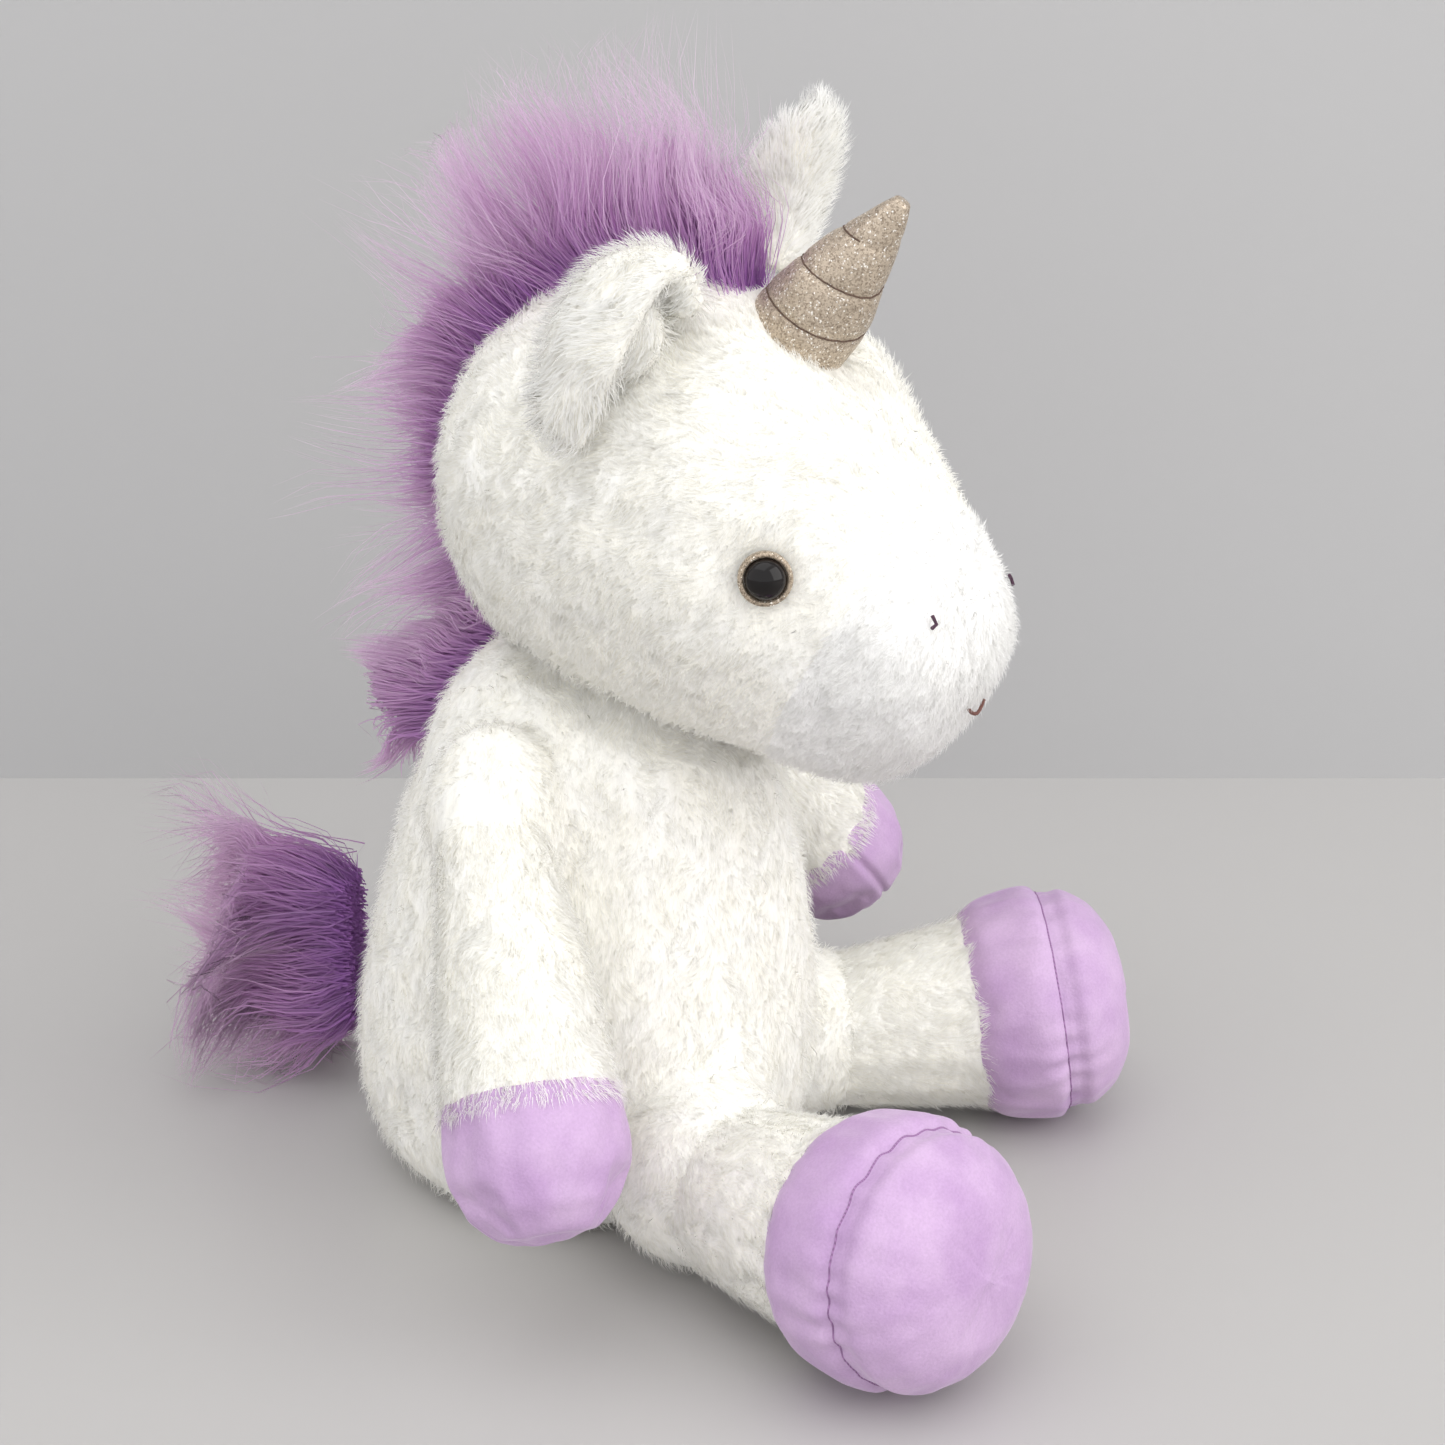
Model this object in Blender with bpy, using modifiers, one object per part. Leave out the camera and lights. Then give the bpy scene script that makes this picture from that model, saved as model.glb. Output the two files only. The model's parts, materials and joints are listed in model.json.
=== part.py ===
"""Sitting plush unicorn, built from its sewn covers, fillings, eyes, horn, mane and tail.

Metres, +Z up. The unicorn faces -Y and its right side is at -X. The origin is on the
floor, under the middle of the body.
"""

import math

import bmesh
import bpy
from mathutils import Matrix, Vector

MM = 0.001

# Fits and fabric
FABRIC = 1.5 * MM
SEAM_GAP = 0.4 * MM
FILL_GAP = 0.6 * MM
JOINT_PLAY = 1.6 * MM
ROUND_STEPS = 20
LIMB_STEPS = 14
HEAD_STEPS = 22
CURVE_STEPS = 8
MERGE_DISTANCE = 0.01 * MM
SHARP_ANGLE = math.radians(45)

# Neck: the body's top, the gusset and the head's hollow share this centre
NECK_CENTRE = Vector((0, -6, 116)) * MM
NECK_RADIUS = 51 * MM
GUSSET_INNER = NECK_RADIUS + JOINT_PLAY
GUSSET_OUTER = GUSSET_INNER + FABRIC
SOCKET_RADIUS = GUSSET_OUTER + JOINT_PLAY
SOCKET_STEPS = 24
NECK_DOME_ANGLES = (22, 36, 52, 66, 74)
GUSSET_ANGLES = (17, 25, 33, 41, 49)
HEAD_TURN = math.radians(-7)

# Body, floor upwards: height, half width, front, back
BODY_SECTIONS = (
    (0, 46, -48, 48),
    (3, 53, -55, 57),
    (12, 58, -62, 65),
    (30, 61, -66, 69),
    (50, 61, -67, 68),
    (78, 57.5, -65, 61),
    (104, 52, -61, 53),
    (125, 47.5, -56, 44),
)
BAG_HEIGHTS = (3.4, 8, 14, 19)
BAG_MARGIN = 4.5
FILLING_MARGIN = 2.8
FILLING_START = 0.9
FILLING_END = 0.93
FILLING_HEIGHTS = (20, 32, 50, 70, 90, 110, 125, 137, 147, 155, 160)

# Head, back to front: distance forward, half width, top, bottom
HEAD_SECTIONS = (
    (35, 5, 209, 199),
    (31, 18, 223, 185),
    (21, 35, 241, 167),
    (5, 48, 253, 153),
    (-15, 55, 259, 147),
    (-40, 57, 261, 143),
    (-62, 53, 257.5, 139),
    (-78, 45, 249, 135),
    (-91, 38, 232, 134),
    (-101, 36, 216, 138),
    (-111, 32, 202, 147),
    (-117, 25, 192, 157),
    (-120.5, 15, 184, 164),
    (-122, 5, 178, 170),
)
MUZZLE_SEAM = Vector((0, -109, 206)) * MM
MUZZLE_NORMAL = Vector((0, -0.859, -0.513)).normalized()

# Eyes
EYE_Y = -81 * MM
EYE_Z = 197.5 * MM
EYE_DOME_RADIUS = 5.1 * MM
EYE_RING_RADIUS = 6.7 * MM
EYE_RING_THICK = 1.2 * MM
EYE_RING_CORNER = 0.5 * MM
SHANK_RADIUS = 1.6 * MM
EYE_LIFT = 0.9 * MM
EYE_DOME_HEIGHT = 3.4 * MM
EYE_DOME_GAP = 0.3 * MM
SHANK_LENGTH = 7 * MM
SHANK_PLAY = 0.3 * MM
WASHER_DEPTH = 2.2 * MM
WASHER_RADIUS = 7 * MM
WASHER_THICK = 1.2 * MM
SHANK_HOLE_LENGTH = 20 * MM
POCKET_DEPTH = 10 * MM

# Face stitches
NOSTRIL_Y = -116 * MM
NOSTRIL_Z = 185.5 * MM
MOUTH_Z = 156.5 * MM
MOUTH_WIDTH = 9 * MM
MOUTH_STEPS = 6
MOUTH_CLEAR = 1.5 * MM
MOUTH_SEARCH_STEP = 0.1 * MM
NOSTRIL_ALONG = Vector((0, -0.5, 0.86))
NOSTRIL_BEND = 1.4 * MM
NOSTRIL_UPPER = 2 * MM
NOSTRIL_LOWER = 1.2 * MM
STITCH_RADIUS = 0.5 * MM

# Horn: base centre, tip, and profile as distance up the horn and radius
HORN_BASE = Vector((0, -61, 242)) * MM
HORN_TIP = Vector((0, -95, 283)) * MM
HORN_PROFILE = ((52, 1.2), (51, 3.1), (43, 5.8), (33, 9.2), (23, 12.1), (12, 13.8), (0, 13.2))
HORN_LENGTH = 52.3
HORN_FABRIC = 1 * MM
HORN_FILLING_MARGIN = 1.8
HORN_TURNS = 2.4
THREAD_RADIUS = 0.35 * MM
THREAD_CLEAR = 0.25 * MM
THREAD_SPAN = (17, 47)
THREAD_POINTS = 48

# Arms: shoulder, hoof middle, profile as distance along the arm and radius
SHOULDER = Vector((57, 0, 128)) * MM
RIGHT_HOOF = Vector((-101.5, -36, 53)) * MM
LEFT_HOOF = Vector((103, -34.5, 63)) * MM
ARM_PROFILE = ((-13, 3), (-10, 8.5), (-5, 12), (4, 13.1), (25, 15.8), (50, 19.8), (77, 21.8))
ARM_HOOF_PROFILE = ((77, 22.3), (86, 23.4), (94, 22.9), (103, 19), (108.5, 12.5), (110.7, 4.5), (111, 0))
ARM_SOCKET = 17.5 * MM
ARM_FILLING = (-4, 100)

# Legs: hip, hoof middle, profiles as distance along the leg and radius
RIGHT_HIP = Vector((-46, -57, 24.5)) * MM
LEFT_HIP = Vector((44, -50, 24.5)) * MM
RIGHT_LEG_HOOF = Vector((-75.7, -128.2, 35.6)) * MM
LEFT_LEG_HOOF = Vector((74.2, -117.2, 35.8)) * MM
LEG_PROFILE = ((-20, 3), (-17, 11), (-10, 17.5), (2, 21.5), (18, 23.5), (36, 26), (50, 27.5))
BAND_PROFILE = ((50, 29), (58, 32.5), (67, 34), (75, 33.6))
SOLE_PROFILE = ((75, 33.6), (82, 31.7), (89, 26.8), (94, 18.5), (96.5, 8), (97, 0))
LEG_SOCKET = 26 * MM
LEG_FILLING = (-4, 73)
PELLET_PROFILE = ((74.5, 0), (74.5, 25), (80, 26.5), (86, 22), (91, 12.5), (92.5, 0))

# Ears: leaf path points, half widths along them
EAR_WIDTHS = (9, 14, 17, 15, 8)
RIGHT_EAR_PATH = ((-29, -48, 257), (-35, -43, 268), (-46, -38, 269), (-59, -33, 254), (-63, -25, 233))
LEFT_EAR_PATH = ((31, -42, 258), (35, -43, 268), (37, -45, 279), (37, -47, 289), (35, -46, 298))
RIGHT_EAR_ACROSS = Vector((0.25, 0.95, -0.2)).normalized()
LEFT_EAR_ACROSS = Vector((0.75, -0.65, 0.1)).normalized()
EAR_CUP = 0.25
EAR_PILE = 2.4 * MM
EAR_LINING = 1.6 * MM

# Mane: root line in the middle plane and length of the pile there
MANE_HEAD_ROOTS = ((-55, 259, -60, 296), (-38, 264, -37, 306), (-14, 262, -6, 306), (8, 254, 32, 286),
                   (25, 240, 52, 256), (35, 222, 64, 228), (37.5, 204, 70, 200), (35, 187, 68, 184))
MANE_NECK_ROOTS = ((41, 154, 72, 158), (45, 144, 74, 147), (49, 133, 76, 134), (52.5, 120, 76, 120))
MANE_ROOT_HALF = 7 * MM
MANE_MIDDLE_HALF = 9.1 * MM
MANE_TIP_HALF = 3 * MM
MANE_LIFT = 5.5 * MM

# Tail: hinge line on the back, and sections as distance behind it, height, half height, half width
TAIL_ROOT_LOW = Vector((0, 76.5, 28)) * MM
TAIL_ROOT_HIGH = Vector((0, 71.5, 72)) * MM
TAIL_CORE_RADIUS = 3.5 * MM
TAIL_SECTIONS = (
    (9, 47, 28, 7),
    (22, 46, 38, 13),
    (42, 42, 36, 16),
    (62, 32, 22, 13),
    (76, 24, 10, 6),
)

# Care label, blank
LABEL_SIZE = Vector((16, 0.6, 24)) * MM
LABEL_ANGLE = math.radians(52)
LABEL_HEIGHT = 26 * MM
LABEL_CLEAR = 2.5 * MM
BODY_HALF_WIDTH = 61 * MM
BODY_BACK = 69 * MM

WHITE = (0.90, 0.88, 0.80)
MUZZLE_WHITE = (0.93, 0.93, 0.94)
LILAC = (0.62, 0.40, 0.68)
PURPLE = (0.30, 0.13, 0.36)
GOLD = (0.50, 0.40, 0.28)
BLACK = (0.012, 0.011, 0.012)
BROWN = (0.10, 0.05, 0.05)
FILLING = (0.85, 0.85, 0.83)
PELLET = (0.70, 0.68, 0.62)


def clear_scene():
    for thing in list(bpy.data.objects):
        bpy.data.objects.remove(thing, do_unlink=True)


def new_collection(name):
    group = bpy.data.collections.new(name)
    bpy.context.scene.collection.children.link(group)
    return group


def new_material(name, colour, roughness, metallic=0.0):
    material = bpy.data.materials.new(name)
    material.use_nodes = True
    shader = material.node_tree.nodes["Principled BSDF"]
    shader.inputs["Base Color"].default_value = (*colour, 1)
    shader.inputs["Roughness"].default_value = roughness
    shader.inputs["Metallic"].default_value = metallic
    material.diffuse_color = (*colour, 1)
    return material


clear_scene()
UNICORN = new_collection("plush_unicorn")
CUTTERS = new_collection("cutters")


def add_object(name, mesh, colour, roughness=0.9, metallic=0.0, parent=None):
    """A sub-part with its own material, left where its mesh puts it under its parent."""
    thing = bpy.data.objects.new(name, mesh)
    thing.data.materials.append(new_material(name + "_material", colour, roughness, metallic))
    thing.parent = parent
    UNICORN.objects.link(thing)
    return thing


def add_cutter(name, mesh, parent=None):
    cutter = bpy.data.objects.new(name, mesh)
    cutter.parent = parent
    cutter.hide_render = True
    cutter.display_type = "WIRE"
    CUTTERS.objects.link(cutter)
    return cutter


def add_pivot(name, place, turn=None, parent=None):
    pivot = bpy.data.objects.new(name, None)
    pivot.location = place
    if turn is not None:
        pivot.rotation_euler = turn.to_euler()
    pivot.parent = parent
    UNICORN.objects.link(pivot)
    return pivot


def bm_to_mesh(name, bm, smooth=True):
    mesh = bpy.data.meshes.new(name)
    bm.to_mesh(mesh)
    bm.free()
    if smooth:
        mesh.shade_smooth()
        mesh.set_sharp_from_angle(angle=SHARP_ANGLE)
    return mesh


def subtract(thing, cutter):
    cut = thing.modifiers.new("cut_" + cutter.name, "BOOLEAN")
    cut.operation = "DIFFERENCE"
    cut.solver = "EXACT"
    cut.object = cutter


def thicken(thing, thickness, offset=-1.0):
    shell = thing.modifiers.new("fabric", "SOLIDIFY")
    shell.thickness = thickness
    shell.offset = offset
    shell.use_even_offset = True


def smooth_rows(rows, steps):
    """The rows with more between each pair, on a Catmull-Rom curve through them."""
    last = len(rows) - 1
    result = []
    for i in range(last):
        near = (rows[max(i - 1, 0)], rows[i], rows[i + 1], rows[min(i + 2, last)])
        for k in range(steps):
            t = k / steps
            result.append([between(*values, t) for values in zip(*near)])
    result.append(list(rows[last]))
    return result


def between(a, b, c, d, t):
    """The Catmull-Rom value between b and c."""
    slope = c - a
    bend = 2 * a - 5 * b + 4 * c - d
    twist = 3 * (b - c) + d - a
    return b + 0.5 * t * (slope + t * (bend + t * twist))


def loft(rings, start=True, end=True):
    """A skin over rings with the same number of points, capped where asked."""
    bm = bmesh.new()
    levels = [[bm.verts.new(point) for point in ring] for ring in rings]
    for low, high in zip(levels, levels[1:]):
        for i, here in enumerate(low):
            j = (i + 1) % len(low)
            bm.faces.new((here, low[j], high[j], high[i]))
    if start:
        bm.faces.new(levels[0])
    if end:
        bm.faces.new(levels[-1])
    bmesh.ops.recalc_face_normals(bm, faces=bm.faces)
    return bm


def shrink(bm, margin):
    """Moves a closed skin inwards by about the margin on each axis, towards its middle."""
    low = Vector([min(v.co[k] for v in bm.verts) for k in range(3)])
    high = Vector([max(v.co[k] for v in bm.verts) for k in range(3)])
    middle = (low + high) / 2
    for v in bm.verts:
        for k in range(3):
            half = (high[k] - low[k]) / 2
            v.co[k] = middle[k] + (v.co[k] - middle[k]) * (half - margin) / half


def sphere_mesh(name, radius, centre, steps=ROUND_STEPS):
    bm = bmesh.new()
    place = Matrix.Translation(centre)
    bmesh.ops.create_uvsphere(bm, u_segments=steps, v_segments=steps // 2, radius=radius, matrix=place)
    return bm_to_mesh(name, bm)


def cylinder_mesh(name, radius, depth, place):
    bm = bmesh.new()
    bmesh.ops.create_cone(bm, cap_ends=True, segments=ROUND_STEPS, radius1=radius, radius2=radius,
                          depth=depth, matrix=place)
    return bm_to_mesh(name, bm)


def box_mesh(name, size, place):
    bm = bmesh.new()
    bmesh.ops.create_cube(bm, size=1, matrix=place @ Matrix.Diagonal((*size, 1)))
    return bm_to_mesh(name, bm, smooth=False)


def profile_mesh(name, profile):
    """A line at +X; the profile is distance below the origin and radius, in mm."""
    bm = bmesh.new()
    points = [bm.verts.new((radius * MM, 0, -along * MM)) for along, radius in profile]
    for a, b in zip(points, points[1:]):
        bm.edges.new((a, b))
    return bm_to_mesh(name, bm, smooth=False)


def add_turned(name, profile, colour, parent, roughness=0.9, angle=360, steps=LIMB_STEPS,
               metallic=0.0):
    """A sub-part turned about local Z."""
    thing = add_object(name, profile_mesh(name, profile), colour, roughness, metallic, parent)
    screw = thing.modifiers.new("turn", "SCREW")
    screw.angle = math.radians(angle)
    screw.steps = steps
    screw.render_steps = steps
    screw.use_merge_vertices = True
    screw.merge_threshold = MERGE_DISTANCE
    screw.use_smooth_shade = True
    return thing


def filling_profile(profile, span, margin):
    """The part of a turned profile within the span, moved inwards and closed on the axis."""
    inner = [(along, radius - margin) for along, radius in profile if span[0] < along < span[1]]
    first, last = inner[0][1], inner[-1][1]
    return ([(span[0], 0), (span[0], first * FILLING_START)] + inner
            + [(span[1], last * FILLING_END), (span[1], 0)])


def limb_turn(start, end):
    """The turn that points local -Z from start to end, with local X level."""
    down = (start - end).normalized()
    level = Vector((0, 0, 1)).cross(down).normalized()
    forward = down.cross(level)
    return Matrix((level, forward, down)).transposed()


def mirrored(place, side):
    return Vector((place.x * side, place.y, place.z))


# Body


def body_rows(margin=0.0):
    """The body's sections, up to the round top that the neck gusset turns on."""
    rows = [(height, half_width - margin, front + margin, back - margin)
            for height, half_width, front, back in BODY_SECTIONS]
    radius = NECK_RADIUS / MM - margin
    for degrees in NECK_DOME_ANGLES:
        height = NECK_CENTRE.z / MM + radius * math.sin(math.radians(degrees))
        reach = radius * math.cos(math.radians(degrees))
        middle = NECK_CENTRE.y / MM
        rows.append((height, reach, middle - reach, middle + reach))
    return rows


def level_ring(row, steps):
    height, half_width, front, back = row
    ring = []
    for i in range(steps):
        angle = 2 * math.pi * i / steps
        reach = -front if math.sin(angle) < 0 else back
        ring.append(Vector((half_width * math.cos(angle), reach * math.sin(angle), height)) * MM)
    return ring


def inner_rings(heights, steps, margin):
    """Rings inside the cover at these heights, by straight steps between the sections."""
    rings = []
    rows = body_rows(margin)
    for height in heights:
        for low, high in zip(rows, rows[1:]):
            if low[0] <= height <= high[0]:
                t = (height - low[0]) / (high[0] - low[0])
                row = [a + (b - a) * t for a, b in zip(low, high)]
                rings.append(level_ring(row, steps))
                break
    return rings


def cut_for_limbs(thing, cutters):
    for cutter in cutters:
        subtract(thing, cutter)


def make_body(limb_cutters):
    bm = loft([level_ring(row, ROUND_STEPS) for row in body_rows()], end=False)
    cover = add_object("body_cover", bm_to_mesh("body_cover", bm), WHITE)
    thicken(cover, FABRIC)
    cut_for_limbs(cover, limb_cutters)

    bm = loft(inner_rings(FILLING_HEIGHTS, ROUND_STEPS, FILLING_MARGIN))
    filling = add_object("body_stuffing", bm_to_mesh("body_stuffing", bm), FILLING)
    cut_for_limbs(filling, limb_cutters)

    bm = loft(inner_rings(BAG_HEIGHTS, ROUND_STEPS, BAG_MARGIN))
    bag = add_object("seat_bean_bag", bm_to_mesh("seat_bean_bag", bm), PELLET)
    cut_for_limbs(bag, limb_cutters)


def make_care_label():
    out = Vector((math.cos(LABEL_ANGLE), math.sin(LABEL_ANGLE), 0))
    edge = Vector((BODY_HALF_WIDTH * out.x, BODY_BACK * out.y, LABEL_HEIGHT))
    middle = edge + out * (LABEL_SIZE.x / 2 + LABEL_CLEAR)
    place = Matrix.Translation(middle) @ Matrix.Rotation(LABEL_ANGLE, 4, "Z")
    add_object("care_label", box_mesh("care_label", LABEL_SIZE, place), MUZZLE_WHITE)


def make_neck_gusset():
    """A round cup between body and head: both of them turn on its faces."""
    rows = []
    radius = GUSSET_OUTER / MM
    for degrees in GUSSET_ANGLES:
        angle = math.radians(degrees)
        rows.append((-radius * math.cos(angle), radius * math.sin(angle)))
    pivot = add_pivot("neck_pivot", NECK_CENTRE)
    gusset = add_turned("neck_gusset", rows, WHITE, pivot, steps=ROUND_STEPS)
    thicken(gusset, FABRIC)


# Head


def head_ring(y, half_width, top, bottom, steps):
    middle, half = (top + bottom) / 2, (top - bottom) / 2
    ring = []
    for i in range(steps):
        angle = 2 * math.pi * i / steps
        ring.append(Vector((half_width * math.cos(angle), y, middle + half * math.sin(angle))) * MM)
    return ring


def head_skin(steps):
    return loft([head_ring(*row, steps) for row in HEAD_SECTIONS])


def head_surface(y, z, side):
    """The point of the head's skin at this y and z, and the outward direction there."""
    here = surface_width(y, z)
    step = 1 * MM
    slope_y = (surface_width(y + step, z) - surface_width(y - step, z)) / (2 * step)
    slope_z = (surface_width(y, z + step) - surface_width(y, z - step)) / (2 * step)
    out = Vector((side, -slope_y, -slope_z)).normalized()
    return Vector((side * here, y, z)), out


def surface_width(y, z):
    rows = smooth_rows(HEAD_SECTIONS, CURVE_STEPS)
    for back, front in zip(rows, rows[1:]):
        if back[0] * MM >= y >= front[0] * MM:
            t = (back[0] * MM - y) / ((back[0] - front[0]) * MM)
            width, top, bottom = (a + (b - a) * t for a, b in zip(back[1:], front[1:]))
            rise = (z / MM - (top + bottom) / 2) / ((top - bottom) / 2)
            return width * math.sqrt(max(1 - rise * rise, 0)) * MM
    return 0.0


def split_at_seam(bm, keep_front):
    """Keeps the skin on one side of the muzzle's seam, with a seam gap."""
    side = 1 if keep_front else -1
    where = MUZZLE_SEAM + MUZZLE_NORMAL * side * SEAM_GAP / 2
    everything = bm.verts[:] + bm.edges[:] + bm.faces[:]
    bmesh.ops.bisect_plane(bm, geom=everything, dist=MERGE_DISTANCE, plane_co=where,
                           plane_no=MUZZLE_NORMAL, clear_inner=keep_front,
                           clear_outer=not keep_front)


def outward_place(point, out):
    """A placement at the point with local Z pointing outwards."""
    return Matrix.Translation(point) @ out.to_track_quat("Z", "Y").to_matrix().to_4x4()


def make_head():
    ball = sphere_mesh("neck_socket", SOCKET_RADIUS, NECK_CENTRE, SOCKET_STEPS)
    socket = add_cutter("neck_socket", ball)
    eye_cutters = [make_eye_cutters(side, name) for side, name in ((-1, "right"), (1, "left"))]

    bm = head_skin(HEAD_STEPS)
    split_at_seam(bm, keep_front=False)
    cover = add_object("head_cover", bm_to_mesh("head_cover", bm), WHITE)
    thicken(cover, FABRIC)
    subtract(cover, socket)
    for shank_hole, _ in eye_cutters:
        subtract(cover, shank_hole)

    bm = head_skin(HEAD_STEPS)
    split_at_seam(bm, keep_front=True)
    muzzle = add_object("muzzle_cover", bm_to_mesh("muzzle_cover", bm), MUZZLE_WHITE)
    thicken(muzzle, FABRIC)

    bm = head_skin(ROUND_STEPS)
    shrink(bm, FABRIC + 2 * FILL_GAP)
    filling = add_object("head_stuffing", bm_to_mesh("head_stuffing", bm), FILLING)
    subtract(filling, socket)
    for _, pocket in eye_cutters:
        subtract(filling, pocket)


def make_eye_cutters(side, name):
    point, out = head_surface(EYE_Y, EYE_Z, side)
    hole = cylinder_mesh(name + "_shank_hole", SHANK_RADIUS + SEAM_GAP, SHANK_HOLE_LENGTH,
                         outward_place(point, out))
    depth = POCKET_DEPTH
    pocket = cylinder_mesh(name + "_washer_pocket", WASHER_RADIUS + SEAM_GAP, depth,
                           outward_place(point - out * (depth / 2), out))
    return add_cutter(name + "_shank_hole", hole), add_cutter(name + "_washer_pocket", pocket)


def make_eye(side, name):
    """A domed plastic eye on a shank, its glitter ring, and the washer that locks it inside."""
    point, out = head_surface(EYE_Y, EYE_Z, side)
    place = outward_place(point + out * EYE_LIFT, out)
    ring = add_turned(name + "_eye_ring", ring_profile(), GOLD, None, 0.35, steps=20, metallic=0.6)
    ring.matrix_world = place
    dome = add_turned(name + "_eye", dome_profile(), BLACK, None, 0.05, steps=20)
    dome.matrix_world = place
    washer = add_turned(name + "_eye_washer", washer_profile(), MUZZLE_WHITE, None, 0.5)
    washer.matrix_world = place


def ring_profile():
    inner, outer, thick = (SHANK_RADIUS + SEAM_GAP) / MM, EYE_RING_RADIUS / MM, EYE_RING_THICK / MM
    corner = EYE_RING_CORNER / MM
    return ((-thick, inner), (-thick, outer - corner), (-thick + corner, outer), (0, outer),
            (0, inner), (-thick, inner))


def dome_profile():
    radius, height = EYE_DOME_RADIUS / MM, EYE_DOME_HEIGHT / MM
    base = (EYE_RING_THICK + EYE_DOME_GAP) / MM
    rows = []
    for degrees in range(90, -1, -18):
        angle = math.radians(degrees)
        rows.append((-base - height * math.sin(angle), radius * math.cos(angle)))
    shank = SHANK_RADIUS / MM
    rows += [(-base, shank), (SHANK_LENGTH / MM, shank), (SHANK_LENGTH / MM, 0)]
    return rows


def washer_profile():
    inner, outer = (SHANK_RADIUS + SHANK_PLAY) / MM, WASHER_RADIUS / MM
    top = (FABRIC + WASHER_DEPTH) / MM
    bottom = top + WASHER_THICK / MM
    return ((top, inner), (top, outer), (bottom, outer), (bottom, inner), (top, inner))


def stitch_curve(name, lines, colour):
    """Short thread lines as round tubes."""
    curve = bpy.data.curves.new(name, "CURVE")
    curve.dimensions = "3D"
    curve.bevel_depth = STITCH_RADIUS
    curve.bevel_resolution = 1
    curve.use_fill_caps = True
    for line in lines:
        spline = curve.splines.new("POLY")
        spline.points.add(len(line) - 1)
        for point, where in zip(spline.points, line):
            point.co = (*where, 1)
    return add_object(name, curve, colour)


def make_face_stitches():
    for side, name in ((-1, "right"), (1, "left")):
        middle, out = head_surface(NOSTRIL_Y, NOSTRIL_Z, side)
        middle += out * (STITCH_RADIUS + FILL_GAP)
        along = (NOSTRIL_ALONG - out * NOSTRIL_ALONG.dot(out)).normalized()
        bend = out.cross(along) * NOSTRIL_BEND
        ends = (middle + along * NOSTRIL_UPPER + bend, middle, middle - along * NOSTRIL_LOWER + bend)
        stitch_curve(name + "_nostril_stitch", [ends], BROWN)
    points = []
    for i in range(MOUTH_STEPS + 1):
        x = MOUTH_WIDTH * (i / MOUTH_STEPS - 0.5)
        y = mouth_depth(x) - STITCH_RADIUS - MOUTH_CLEAR
        points.append((x, y, MOUTH_Z + x * x / MOUTH_WIDTH))
    stitch_curve("mouth_stitch", [points], BROWN)


def mouth_depth(x):
    """The muzzle's foremost y at this distance from the middle plane, at the mouth's height."""
    y = HEAD_SECTIONS[-1][0] * MM
    while surface_width(y, MOUTH_Z) < abs(x) + MOUTH_CLEAR:
        y += MOUTH_SEARCH_STEP
    return y


# Horn


def make_horn():
    axis = (HORN_TIP - HORN_BASE).normalized()
    place = outward_place(HORN_BASE, axis)
    skin = add_cutter("horn_seat", bm_to_mesh("horn_seat", grown_head(0.5 * MM)))

    rows = [(-up, radius) for up, radius in HORN_PROFILE]
    cover = add_turned("horn_cover", [(-HORN_LENGTH, 0)] + rows, GOLD, None, 0.5, metallic=0.4,
                       steps=ROUND_STEPS)
    cover.matrix_world = place
    thicken(cover, HORN_FABRIC)
    subtract(cover, skin)

    rows = [(FILL_GAP / MM - up, radius - HORN_FILLING_MARGIN) for up, radius in HORN_PROFILE[2:]]
    rows = [(rows[0][0], 0)] + rows + [(rows[-1][0], 0)]
    filling = add_turned("horn_stuffing", rows, FILLING, None)
    filling.matrix_world = place
    subtract(filling, skin)

    curve = bpy.data.curves.new("horn_thread", "CURVE")
    curve.dimensions = "3D"
    curve.bevel_depth = THREAD_RADIUS
    curve.bevel_resolution = 0
    curve.use_fill_caps = True
    low, high = THREAD_SPAN
    spline = curve.splines.new("POLY")
    spline.points.add(THREAD_POINTS)
    for i, point in enumerate(spline.points):
        up = low + (high - low) * i / THREAD_POINTS
        angle = 2 * math.pi * HORN_TURNS * i / THREAD_POINTS
        radius = horn_radius(up) * MM + THREAD_RADIUS + THREAD_CLEAR
        point.co = (radius * math.cos(angle), radius * math.sin(angle), up * MM, 1)
    thread = add_object("horn_thread", curve, BROWN)
    thread.matrix_world = place


def horn_radius(up):
    rows = smooth_rows(HORN_PROFILE, CURVE_STEPS)
    for high, low in zip(rows, rows[1:]):
        if high[0] >= up >= low[0]:
            return low[1] + (high[1] - low[1]) * (up - low[0]) / (high[0] - low[0])
    return 0.0


def grown_head(margin):
    bm = head_skin(HEAD_STEPS)
    shrink(bm, -margin)
    return bm


# Limbs


def make_arm(side, name, hoof):
    """A furry sleeve, a hoof of two minky panels, and the filling, hung at the shoulder."""
    shoulder = mirrored(SHOULDER, side)
    pivot = add_pivot(name + "_shoulder", shoulder, limb_turn(shoulder, hoof))
    sleeve = add_turned(name + "_arm_cover", ARM_PROFILE, WHITE, pivot)
    thicken(sleeve, FABRIC)
    for half, label in ((0, "front"), (1, "back")):
        panel = add_turned(name + "_arm_hoof_" + label, shifted(ARM_HOOF_PROFILE, SEAM_GAP / MM),
                           LILAC, pivot, angle=180, steps=LIMB_STEPS // 2)
        panel.rotation_euler.z = math.pi * half
        panel.location.y = SEAM_GAP * (1 - 2 * half)
        thicken(panel, FABRIC)
    both = ARM_PROFILE + ARM_HOOF_PROFILE[1:]
    rows = filling_profile(both, ARM_FILLING, FILLING_MARGIN)
    add_turned(name + "_arm_stuffing", rows, FILLING, pivot)


def shifted(profile, along):
    return [(distance + along, radius) for distance, radius in profile]


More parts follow.
